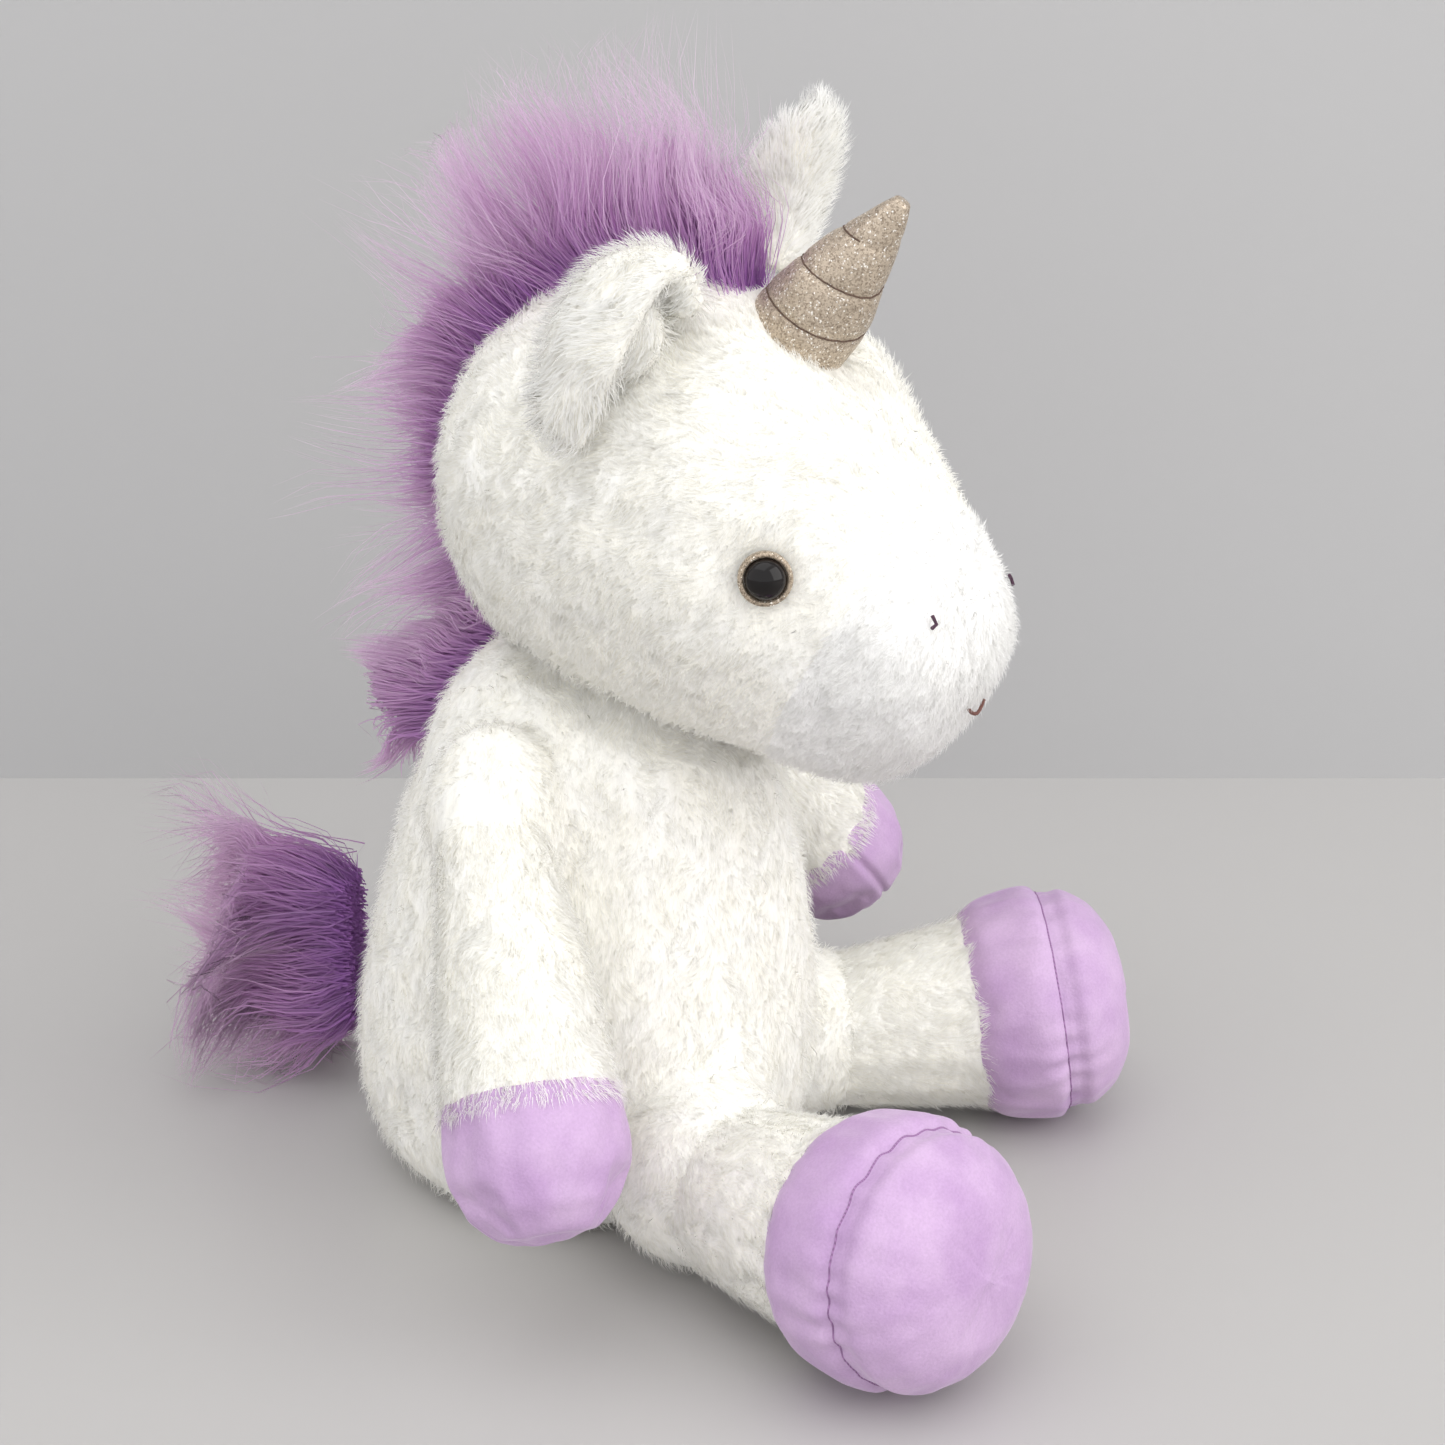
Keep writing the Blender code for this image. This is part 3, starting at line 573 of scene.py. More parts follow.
def ribbon_mesh(name, paths, outs, widths, rng, soft=0.75):
    """Flat tapering ribbons along the paths, lit as the skin under them."""
    count, rows, _ = paths.shape
    along = unit((paths[:, -1] - paths[:, 0]))
    facing = unit(outs + rng.normal(size=(count, 3)) * 0.22)
    side = unit(np.cross(along, facing))
    taper = np.linspace(1.0, TIP_SHARE, rows)[None, :, None]
    offset = side[:, None, :] * taper * (widths / 2)[:, None, None]
    left, right = paths - offset, paths + offset
    per = 2 * (rows - 1) + 1
    points = np.zeros((count, per, 3), np.float32)
    points[:, 0:per - 1:2] = left[:, :-1]
    points[:, 1:per - 1:2] = right[:, :-1]
    points[:, -1] = paths[:, -1]
    points[:, :, 2] = np.maximum(points[:, :, 2], TABLE_GAP)
    base = (np.arange(count) * per)[:, None]
    corners, spots = [], []
    for row in range(rows - 2):
        corners += [2 * row, 2 * row + 1, 2 * row + 3, 2 * row + 2]
        spots += [(0, row), (1, row), (1, row + 1), (0, row + 1)]
    last = 2 * (rows - 2)
    corners += [last, last + 1, last + 2]
    spots += [(0, rows - 2), (1, rows - 2), (0.5, rows - 1)]
    sizes = [4] * (rows - 2) + [3]
    index = (base + np.array(corners)).astype(np.int32)
    mesh = bpy.data.meshes.new(name)
    mesh.vertices.add(count * per)
    mesh.vertices.foreach_set("co", points.ravel())
    mesh.loops.add(index.size)
    mesh.loops.foreach_set("vertex_index", index.ravel())
    mesh.polygons.add(count * len(sizes))
    starts = np.concatenate(([0], np.cumsum(np.tile(sizes, count))[:-1])).astype(np.int32)
    mesh.polygons.foreach_set("loop_start", starts)
    mesh.update(calc_edges=True)
    spots = np.array(spots, float)
    tone = rng.integers(0, TONES, count)
    uv = np.zeros((count, len(spots), 2), np.float32)
    uv[:, :, 0] = (tone[:, None] + 0.15 + 0.7 * spots[None, :, 0]) / TONES
    uv[:, :, 1] = spots[None, :, 1] / (rows - 1)
    layer = mesh.uv_layers.new(name="OFBake")
    layer.data.foreach_set("uv", uv.ravel())
    mesh.validate()
    mesh.shade_smooth()
    shading = unit(outs * soft + facing * (1 - soft) + rng.normal(size=(count, 3)) * 0.07)
    mesh.normals_split_custom_set_from_vertices(np.repeat(shading, per, axis=0).astype(np.float32))
    return mesh


def tangent(ways, outs):
    return unit(ways - outs * np.sum(ways * outs, axis=1)[:, None])


def coat(name, skin, count, comb, body, seed, length=COAT_LENGTH, look=WHITE_PILE,
         slot="white_plush", keep=None, lift=0.55, width=COAT_WIDTH, rows=3, share=14, pull=0.4,
         jitter=0.26, wander=0.6, size=0.02, lengths_at=None):
    """A short pile on a skin, combed along comb(places)."""
    rng = np.random.default_rng(seed)
    places, outs = sample_skin(skin, count, rng, keep)
    ways = tangent(comb(places) + swirl(places, size, seed) * wander, outs)
    lengths = length * rng.uniform(0.7, 1.15, len(places))
    if lengths_at is not None:
        lengths = lengths * lengths_at(places)
    paths = strands(places, outs, ways, lengths, rows, lift, 0.7, rng, share, pull, jitter)
    widths = width * rng.uniform(0.75, 1.25, len(places))
    mesh = ribbon_mesh(name, paths, outs, widths, rng)
    new_piece(name, mesh, look, body)


def furry(name, skin, count, comb, body, seed, stands_for, ground=WHITE_GROUND,
          slot="white_plush", **pile):
    """A skin in place of CAD nodes, and the pile on it."""
    piece = new_piece(name + "_skin", skin, ground, body, stands_for)
    coat(name + "_fur", piece.data, count, comb, body, seed, slot=slot, **pile)


# Body and head

LINING_DEPTH = 3.5 * MM
LINING_REACH = 28 * MM
LINING_STRANDS = 7000
TRUNK_VOXEL = 2.5 * MM
ARM_SOCKET = 19.5 * MM
LEG_SOCKET = 27.5 * MM
BODY_LOW, BODY_HIGH = (corner.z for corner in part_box("body_cover"))
# Nodes that a skin is wrapped on, and the line inside them that it is cast from
TORSO_CORE = (["body_cover"], Vector((0, 0, BODY_LOW + 35 * MM)), Vector((0, 0, BODY_HIGH - 40 * MM)))
SKULL_CORE = (["head_cover", "muzzle_cover"], head_point(0, -2, 205), head_point(0, -88, 185))


def build_trunk():
    """One skin over body and head, parted at the crease under the head."""
    sockets = [(joint_place(side + "_arm_swing"), ARM_SOCKET) for side in SIDES]
    sockets += [(joint_place(side + "_leg_raise"), LEG_SOCKET) for side in SIDES]
    parts = [wrapped(*TORSO_CORE, holes=sockets), wrapped(*SKULL_CORE, 6)]
    parts += [root_bump(side, limb) for side in SIDES for limb in ("arm", "leg")]
    return remeshed(parts, TRUNK_VOXEL, 6)


def root_bump(side, limb):
    """The body's fabric drawn out round a limb's root."""
    centre_at = joint_place(side + ("_arm_swing" if limb == "arm" else "_leg_raise"))
    inward = -1 if centre_at.x > 0 else 1
    if limb == "arm":
        centre_at += Vector((inward * 6, 0, -7)) * MM
        radii = Vector((17.5, 20, 28)) * MM
    else:
        centre_at += Vector((inward * 2, 2, 3)) * MM
        radii = Vector((27, 27, 26)) * MM
    bump = bmesh.new()
    bmesh.ops.create_icosphere(bump, subdivisions=4, radius=1)
    for v in bump.verts:
        v.co = centre_at + Vector(v.co[k] * radii[k] for k in range(3))
        v.co.z = max(v.co.z, 1 * MM)
    return bump


def shape_head(mesh):
    """Eye sockets, the dimple round the horn and the pinch along the crease."""
    points = mesh_points(mesh)
    depth = np.zeros(len(points))
    for eye in EYES:
        depth += 2.2 * MM * np.exp(-(distance(points, eye[0]) / (9 * MM)) ** 2)
    before_horn = HORN_FOOT - HEAD_Y * 7 * MM
    depth += 8.0 * MM * np.exp(-(distance(points, before_horn) / (17 * MM)) ** 4)
    depth += 2.0 * MM * np.exp(-(height(points, CREASE_POINT, CREASE_NORMAL) / (5 * MM)) ** 2)
    depth += swirl(points, 0.05, 5)[:, 0] * 0.5 * MM
    set_points(mesh, points - vertex_normals(mesh) * depth[:, None])


def eye_frame(side):
    ring = Vector(cad_points(side + "_eye_ring").mean(0))
    washer = Vector(cad_points(side + "_eye_washer").mean(0))
    return ring, (ring - washer).normalized()


def horn_frame():
    """The horn's axis from its upper half, and its tip."""
    points = cad_points("horn_cover")
    guess = np.array(-HEAD_Y * 0.64 + Vector((0, 0, 0.77)))
    tip = points[np.argmax(points @ guess)]
    upper = points[distance(points, tip) < 34 * MM]
    middle = upper.mean(0)
    axis = Vector(np.linalg.svd(upper - middle)[2][0])
    if axis.dot(Vector(guess)) < 0:
        axis = -axis
    top = Vector(middle) + axis * (Vector(tip) - Vector(middle)).dot(axis)
    return top, axis


EYES = [eye_frame("right"), eye_frame("left")]
HORN_TOP, HORN_AXIS = horn_frame()
HORN_LENGTH = 52 * MM
HORN_FOOT = HORN_TOP - HORN_AXIS * HORN_LENGTH
MUZZLE_PLACE = head_point(0, -109, 206)
MUZZLE_NORMAL = (-HEAD_Y * 0.859 - Vector((0, 0, 0.513))).normalized()


def clear_of(points_and_radii):
    """1 away from each (point, radius) and 0 within it."""
    def keep(places):
        result = np.ones(len(places))
        for point, radius in points_and_radii:
            result *= np.clip((distance(places, point) - radius) / (1.5 * MM), 0, 1)
        return result
    return keep


def horn_clear(places):
    along = np.outer(height(places, HORN_FOOT, HORN_AXIS), HORN_AXIS)
    aside = np.linalg.norm(places - np.array(HORN_FOOT) - along, axis=1)
    return np.clip((aside - 12 * MM) / (1 * MM), 0, 1)


def head_comb(places):
    """Back from the muzzle and down over the cheeks; up and back over the skull."""
    local = head_local(places)
    back = np.clip((-local[:, 1] + 10) / 90, 0, 1)
    down = np.clip((235 - local[:, 2]) / 60, -0.2, 1)
    ways = np.outer(0.9 * back + 0.25, np.array(HEAD_Y))
    ways += np.outer(-down, (0, 0, 1.0))
    return ways


def body_comb(places):
    """Down the body, fanning outwards a little."""
    ways = np.tile((0.0, 0.0, -1.0), (len(places), 1))
    ways[:, 0] += places[:, 0] * 4
    ways[:, 1] += places[:, 1] * 3
    return ways


def build_lining(name, core, body, outward, seed):
    """Furry fabric that goes on inside the crease, seen when the head turns or nods away."""
    bm = wrapped(*core)
    bmesh.ops.recalc_face_normals(bm, faces=bm.faces)
    mesh = to_mesh(bm, name)
    set_points(mesh, mesh_points(mesh) - vertex_normals(mesh) * LINING_DEPTH)
    mesh = cut_mesh(mesh, [(CREASE_POINT + outward * LINING_REACH, outward)])
    new_piece(name, mesh, WHITE_GROUND, body)
    coat(name + "_fur", mesh, LINING_STRANDS, body_comb, body, seed, length=3.5 * MM, lift=0.3)


def build_coats():
    trunk = build_trunk()
    shape_head(trunk)
    build_lining("torso_lining", TORSO_CORE, "torso", -CREASE_NORMAL, 15)
    build_lining("head_lining", SKULL_CORE, "head", CREASE_NORMAL, 16)
    torso = cut_mesh(trunk, [(CREASE_LOW, CREASE_NORMAL)])
    neck = cut_mesh(trunk, [(CREASE_HIGH, CREASE_NORMAL), (CREASE_LOW, -CREASE_NORMAL)])
    head = cut_mesh(trunk, [(CREASE_HIGH, -CREASE_NORMAL), (MUZZLE_PLACE, MUZZLE_NORMAL)])
    muzzle = cut_mesh(trunk, [(CREASE_HIGH, -CREASE_NORMAL), (MUZZLE_PLACE, -MUZZLE_NORMAL)])

    furry("torso", torso, TORSO_STRANDS, body_comb, "torso", 11,
          ("body_cover", "body_stuffing", "seat_bean_bag"),
          keep=lambda p: np.clip(p[:, 2] / (3 * MM), 0, 1))
    eyes_clear = clear_of([(eye[0], 6.0 * MM) for eye in EYES])
    furry("head", head, HEAD_STRANDS, head_comb, "head", 12, ("head_cover", "head_stuffing"),
          keep=lambda p: eyes_clear(p) * horn_clear(p), lengths_at=head_lengths)
    stitches = [(centre(side + "_nostril_stitch"), 1.6 * MM) for side in SIDES]
    stitches.append((centre("mouth_stitch"), 3.0 * MM))
    furry("muzzle", muzzle, MUZZLE_STRANDS, head_comb, "head", 13, ("muzzle_cover",), MUZZLE_GROUND,
          "muzzle_plush", look=MUZZLE_PILE, keep=clear_of(stitches), length=4.2 * MM, lift=0.5,
          width=0.30 * MM, pull=0.35, wander=0.35)
    furry("neck", neck, NECK_STRANDS, body_comb, CREASE, 14, ("neck_gusset",), lift=0.4, rows=4,
          pull=0.55, jitter=0.25, wander=0.45, size=0.03)


def head_lengths(places):
    """Shorter pile towards the muzzle's seam and round the eyes."""
    near_seam = np.clip(-height(places, MUZZLE_PLACE, MUZZLE_NORMAL) / (25 * MM), 0, 1)
    result = 0.62 + 0.38 * near_seam
    for eye in EYES:
        result *= 0.6 + 0.4 * np.clip((distance(places, eye[0]) - 5 * MM) / (14 * MM), 0, 1)
    return result * (0.6 + 0.4 * np.clip((distance(places, HORN_FOOT) - 12 * MM) / (10 * MM), 0, 1))


# Limbs

SEAM_POINTS = 180
CLOTH = {"quality": 6, "mass": 0.12, "tension_stiffness": 12, "compression_stiffness": 12,
         "shear_stiffness": 4, "bending_stiffness": 0.15, "use_pressure": True,
         "uniform_pressure_force": 4.0}
CLOTH_FRAMES = 18
CLOTH_REACH = 3.5 * MM  # no point is blown further out


def outer_hit(tree, target, way, aside):
    """The outermost place on the CAD along way, looking past the slit between two panels."""
    reaches = []
    for shift in (-0.8 * MM, 0.0, 0.8 * MM):
        hit = tree.ray_cast(target + aside * shift + way * REACH, -way)[0]
        if hit is not None:
            reaches.append((hit - target).dot(way))
    return target + way * max(reaches)


def stitched(bm, name, rings, steps):
    """A skin between rings of vertices; a ring of one vertex closes an end."""
    for low, high in zip(rings, rings[1:]):
        for i in range(steps):
            j = (i + 1) % steps
            if len(low) == 1:
                bm.faces.new((low[0], high[j], high[i]))
            elif len(high) == 1:
                bm.faces.new((low[i], low[j], high[0]))
            else:
                bm.faces.new((low[i], low[j], high[j], high[i]))
    bmesh.ops.recalc_face_normals(bm, faces=bm.faces)
    return to_mesh(bm, name)


def limb_grid(names, start, along, stations, cap_rows, steps, grow=0.0):
    """Rings round a limb's axis at the stations, then a domed end: a mesh and its rings."""
    tree = cad_tree(names)
    level = UP.cross(along).normalized()
    other = along.cross(level)
    end = start + along * stations[-1]
    places = [(start + along * station, 0.0) for station in stations]
    places += [(end, 90.0 * row / cap_rows) for row in range(1, cap_rows)]
    bm = bmesh.new()
    rings = []
    for target, tilt in places:
        turn = math.radians(tilt)
        ring = []
        for i in range(steps):
            angle = TURN * i / steps
            way = (level * math.cos(angle) + other * math.sin(angle)) * math.cos(turn) \
                + along * math.sin(turn)
            ring.append(bm.verts.new(outer_hit(tree, target, way, other) + way * grow))
        rings.append(ring)
    rings.append([bm.verts.new(outer_hit(tree, end, along, other) + along * grow)])
    numbers = [list(range(k * steps, k * steps + len(ring))) for k, ring in enumerate(rings)]
    return stitched(bm, "limb", rings, steps), numbers


def stuffed(mesh, pins, excess):
    """Fills a sewn cover: cloth with spare fabric blown out against its held seams."""
    rest = mesh_points(mesh)
    thing = placed("filling", mesh.copy())
    group = thing.vertex_groups.new(name="held")
    group.add([int(i) for i in pins], 1.0, "REPLACE")
    cloth = thing.modifiers.new("cloth", "CLOTH")
    for key, value in CLOTH.items():
        setattr(cloth.settings, key, value)
    cloth.settings.shrink_min = -excess
    cloth.settings.vertex_group_mass = "held"
    cloth.settings.effector_weights.gravity = 0
    cloth.point_cache.frame_start = 1
    cloth.point_cache.frame_end = CLOTH_FRAMES
    for number in range(1, CLOTH_FRAMES + 1):
        scene.frame_set(number)
    result = evaluated(thing)
    scene.frame_set(1)
    bpy.data.objects.remove(thing)
    moved = mesh_points(result) - rest
    far = np.linalg.norm(moved, axis=1)
    moved *= (np.minimum(far, CLOTH_REACH) / np.maximum(far, 1e-9))[:, None]
    set_points(mesh, rest + moved)
    bpy.data.meshes.remove(result)
    return mesh


def gather(mesh, start, along, seam):
    """Puckers that run into the seam round a hoof, and the seam's own groove."""
    points = mesh_points(mesh)
    axis = np.array(along)
    away = points - np.array(start)
    beside = away @ axis - seam
    outward = away - np.outer(away @ axis, axis)
    level = np.cross(axis, (0, 0, 1.0))
    turn = np.arctan2(outward @ np.cross(axis, level), outward @ level)
    wave = np.sin(25 * turn + 2 * np.sin(3 * turn)) * (0.65 + 0.35 * np.sin(5 * turn + 1))
    depth = 0.5 * MM * wave * np.exp(-(beside / (6 * MM)) ** 2)
    depth -= 1.1 * MM * np.exp(-(beside / (1.3 * MM)) ** 2)
    round_part = np.clip(np.linalg.norm(outward, axis=1) / (12 * MM), 0, 1)
    set_points(mesh, points + unit(outward) * (depth * round_part)[:, None])


def seam_thread(name, mesh, middle, along, body):
    """The stitched line in the groove of a hoof's seam."""
    tree = tree_of([mesh])
    level = along.cross(UP).normalized()
    other = along.cross(level)
    ring = []
    for i in range(SEAM_POINTS):
        angle = TURN * i / SEAM_POINTS
        way = level * math.cos(angle) + other * math.sin(angle)
        hit = tree.ray_cast(middle + way * REACH, -way)[0]
        if hit is not None:
            ring.append(hit)
    thread_piece(name, ring, 0.28 * MM, 1, HOOF_THREAD, body, closed=True)


def limb_frame(body, joint, hoof, edged):
    """A limb's nodes, root and axis towards the hoof, and where the edged ones start and end."""
    start = joint_place(joint)
    along = (centre(*hoof) - start).normalized()
    stations = height(cad_points(*edged), start, along)
    return hoof + [body + "_cover", body + "_stuffing"], start, along, stations.min(), stations.max()


def limb_comb(along):
    way = np.array(along) - (0, 0, 0.25)
    return lambda places: np.tile(way, (len(places), 1))


def build_sleeve(body, names, start, along, edge, tucked, rows, steps, bare, count, seed, **pile):
    """A sleeve from inside the body, tucked in some millimetres, to just over the hoof's edge.
    Pile grows where it has left the body's fabric, past the bare length."""
    stations = [(-tucked + (edge / MM + (tucked + 2)) * i / rows) * MM for i in range(rows + 1)]
    sleeve, _ = limb_grid(names, start, along, stations, 3, steps, grow=0.3 * MM)
    sleeve = cut_mesh(subdivided(sleeve, 1), [(start + along * (edge + 1.5 * MM), along)])
    furry(body, sleeve, count, limb_comb(along), body, seed, (body + "_cover", body + "_stuffing"),
          keep=lambda places: np.clip((height(places, start, along) - bare) / (4 * MM), 0, 1), **pile)


def build_leg(side):
    """Furry sleeve, minky band and sole with a gathered seam."""
    body = side + "_leg"
    hoof_names = [side + "_hoof_band", side + "_hoof_sole"]
    names, start, along, first, seam = limb_frame(body, body + "_raise", hoof_names, hoof_names[:1])
    rows = [first - 4 * MM + (seam - first + 4 * MM) * i / 9 for i in range(10)]
    mesh, rings = limb_grid(names, start, along, rows, 15, 84)
    mesh = smoothed(mesh, 4)
    points = mesh_points(mesh)
    seam_ring = rings[len(rows)]
    points[seam_ring] += unit(np.array(start + along * (seam - 6 * MM)) - points[seam_ring]) * 1.1 * MM
    set_points(mesh, points)
    hoof = subdivided(stuffed(mesh, rings[0] + rings[1] + seam_ring, 0.05), 2)
    gather(hoof, start, along, seam)
    new_piece(side + "_hoof_skin", hoof, MINKY, body,
              (*hoof_names, side + "_hoof_pellets"))
    seam_thread(side + "_hoof_seam", hoof, start + along * seam, along, body)
    build_sleeve(body, names, start, along, first, 12, 14, 64, 8 * MM, LEG_STRANDS,
                 21 + SIDES.index(side), lift=0.38, jitter=0.16)


def build_arm(side):
    """Furry sleeve and a hoof of two minky panels sewn along its edges."""
    body = side + "_arm"
    hoof_names = [body + "_hoof_front", body + "_hoof_back"]
    names, start, along, first, last = limb_frame(body, body + "_swing", hoof_names, hoof_names)
    rows = [first - 4 * MM + (last - first - 12 * MM) * i / 5 for i in range(6)]
    steps = 64
    mesh, rings = limb_grid(names, start, along, rows, 13, steps)
    seam = [ring[i] for ring in rings[1:-1] for i in (0, steps // 2)] + rings[-1]
    hoof = subdivided(stuffed(smoothed(mesh, 3), rings[0] + seam, 0.04), 2)
    points = mesh_points(hoof)
    across = along.cross(UP.cross(along).normalized())
    beside = height(points, start, across)
    inward = unit(np.array(start + along * (last - 24 * MM)) - points)
    groove = 0.9 * MM * np.exp(-(beside / (1.3 * MM)) ** 2)
    set_points(hoof, points + inward * groove[:, None])
    new_piece(body + "_hoof_skin", hoof, MINKY, body, tuple(hoof_names))
    build_sleeve(body, names, start, along, first, 9, 20, 56, 3 * MM, ARM_STRANDS,
                 31 + SIDES.index(side))


# Ears

EAR_VOXEL = 1.6 * MM
EAR_FOLD = 11 * MM  # the near ear's fold is full of pile, as round as this
# How far the pile plumps it in millimetres, how much narrower its cup makes it, and its tip's sag
EAR_SHAPES = {"right": (1.8, 0.30, (4, -8, -2)), "left": (0.3, 0.36, (0, 0, 0))}


def build_ear(side):
    """A leaf of long pile folded from its root."""
    body = side + "_ear"
    outer, inner = body + "_outer", body + "_inner"
    parts = []
    for name in (outer, inner):
        bm = bmesh.new()
        bm.from_mesh(NODES[name].data)
        parts.append(bm)
    if side == "right":
        fold = bmesh.new()
        place = Matrix.Translation(centre(outer, inner) + Vector((2, -2, 3)) * MM)
        bmesh.ops.create_icosphere(fold, subdivisions=3, radius=EAR_FOLD, matrix=place)
        parts.append(fold)
    skin = remeshed(parts, EAR_VOXEL, 5)
    root = joint_place(side + "_ear_flop")
    plump, squeeze, sag = EAR_SHAPES[side]
    points = mesh_points(skin) + vertex_normals(skin) * plump * MM
    middle = points.mean(0)
    across = np.linalg.svd(points - middle)[2][1]
    points -= np.outer((points - middle) @ across, across) * squeeze
    reach = distance(points, root)
    points += np.outer((reach / reach.max()) ** 1.5, sag) * MM
    set_points(skin, points)
    direction = np.array(centre(outer, inner) - root)
    direction /= np.linalg.norm(direction)

    def comb(places):
        """From the root along the leaf."""
        away = places - np.array(root)
        if side == "right":
            away = away + np.array((-0.012, 0.006, -0.012))
        return unit(away) * 0.7 + direction * 0.6
    furry(body, skin, EAR_STRANDS, comb, body, 41 + SIDES.index(side), (outer, inner),
          length=7.0 * MM, look=EAR_PILE, lift=0.75, rows=4, jitter=0.22)


# Face


def lathe(name, origin, axis, rows, steps, radius_at=None):
    """A turned skin; rows are (distance along the axis, radius)."""
    turn = axis.to_track_quat("Z", "Y").to_matrix()
    bm = bmesh.new()
    rings = []
    for up, radius in rows:
        if radius <= 0:
            rings.append([bm.verts.new(origin + axis * up)])
            continue
        line = []
        for i in range(steps):
            angle = TURN * i / steps
            reach = radius_at(up, angle, radius) if radius_at else radius
            aside = turn @ Vector((math.cos(angle), math.sin(angle), 0))
            line.append(bm.verts.new(origin + axis * up + aside * reach))
        rings.append(line)
    mesh = stitched(bm, name, rings, steps)
    mesh.shade_smooth()
    return mesh


def build_eye(side, where):
    """Glossy dome with a dark brown depth, in a glitter ring."""
    place, out = where
    dome = [(-2.0, 5.1), (-0.3, 5.15)]
    for step in range(1, 13):
        angle = math.radians(90 * step / 12)
        dome.append((3.9 * math.sin(angle) + 0.1, 5.15 * math.cos(angle) if step < 12 else 0))
    mesh = lathe(side + "_eye_dome", place, out, np.array(dome) * MM, 64)
    mat, tree, shader = material(side + "_eye_black", Roughness=0.06, Specular_IOR_Level=0.3)
    edge = node(tree, "LayerWeight", in_Blend=0.35)
    depth = ramp(edge.outputs["Facing"], (0.0, (0.004, 0.003, 0.003)), (1.0, (0.02, 0.012, 0.01)))
    link(depth, shader, "Base Color")
    new_piece(side + "_eye_dome", mesh, mat, "head", (side + "_eye",))
    ring = [(-2.2, 6.6), (-0.2, 6.75), (0.5, 6.6), (0.85, 6.1), (0.75, 5.6), (0.3, 5.25), (-1.0, 5.2)]
    mesh = lathe(side + "_eye_glitter", place, out, np.array(ring) * MM, 72)
    new_piece(side + "_eye_glitter", mesh, RING_GLITTER, "head",
              (side + "_eye_ring",))


HORN_ROWS = 110
HORN_BURIED = 14 * MM  # its skin starts this far inside the head
HORN_PITCH = 12.5 * MM
HORN_STITCH = 28 * MM  # a thread line passes here on the side facing the camera


def build_horn():
    """Glitter fabric gathered under a wound thread."""
    tree = cad_tree(["horn_cover"])
    turn = HORN_AXIS.to_track_quat("Z", "Y").to_matrix()
    aside = turn @ Vector((0, 1, 0))
    ups, radii = [], []
    for i in range(HORN_ROWS + 1):
        up = (-HORN_BURIED) + (HORN_LENGTH + HORN_BURIED) * i / HORN_ROWS
        target = HORN_FOOT + HORN_AXIS * up
        reaches = []
        for sign in (-1, 1):
            hit = tree.ray_cast(target + aside * REACH * sign, -aside * sign)[0]
            if hit is not None:
                reaches.append((hit - target).length)
        ups.append(up)
        if up <= HORN_BURIED:
            radii.append(13.4 * MM + min(up, 0) * 0.15)
        else:
            radii.append(sum(reaches) / len(reaches) if reaches else 2.2 * MM)
    radii = np.array(radii)
    for _ in range(10):
        radii[1:-1] = (radii[:-2] + radii[1:-1] * 2 + radii[2:]) / 4
    radii = np.maximum(radii, 1.5 * MM)
    to_camera = (CAMERA_PLACE - HORN_FOOT) @ turn
    near_side = math.atan2(to_camera.y, to_camera.x) % TURN
    start = HORN_STITCH - HORN_PITCH * (3 + near_side / TURN)

    def gathered(up, angle, radius):
        """The spiral dent of the thread with small gathers beside it."""
        turns = (up - start) / HORN_PITCH - angle / TURN
        away = abs(turns - round(turns)) * HORN_PITCH
        dent = math.exp(-(away / (1.3 * MM)) ** 2)
        gather = math.sin(angle * 17 + up * 900) * math.exp(-(away / (2.2 * MM)) ** 2)
        wave = math.sin(angle * 3 + up * 260) * 0.25 * MM
        shape = min(1.0, max((HORN_LENGTH - up) / (16 * MM), 0.0))
        return radius + (0.2 * MM - 0.5 * MM * dent + 0.10 * MM * gather + wave) * shape

    rows = [*zip(ups, radii), (HORN_LENGTH + 0.4 * MM, 0)]
    mesh = lathe("horn_skin", HORN_FOOT, HORN_AXIS, rows, 120, gathered)
    new_piece("horn_skin", mesh, HORN_GLITTER, "head",
              ("horn_cover", "horn_stuffing"))

    points = []
    for i in range(400):
        turns = 7 * i / 399
        up = start + HORN_PITCH * turns
        if -4 * MM <= up <= HORN_LENGTH - 12 * MM:
            angle = TURN * turns
            radius = gathered(up, angle % TURN, float(np.interp(up, ups, radii))) + 0.08 * MM
            points.append(HORN_FOOT + HORN_AXIS * up
                          + turn @ Vector((math.cos(angle), math.sin(angle), 0)) * radius)
    thread_piece("horn_thread_spiral", points, 0.22 * MM, 2, HORN_THREAD, "head",
                 stands_for=("horn_thread",))


# Mane and tail


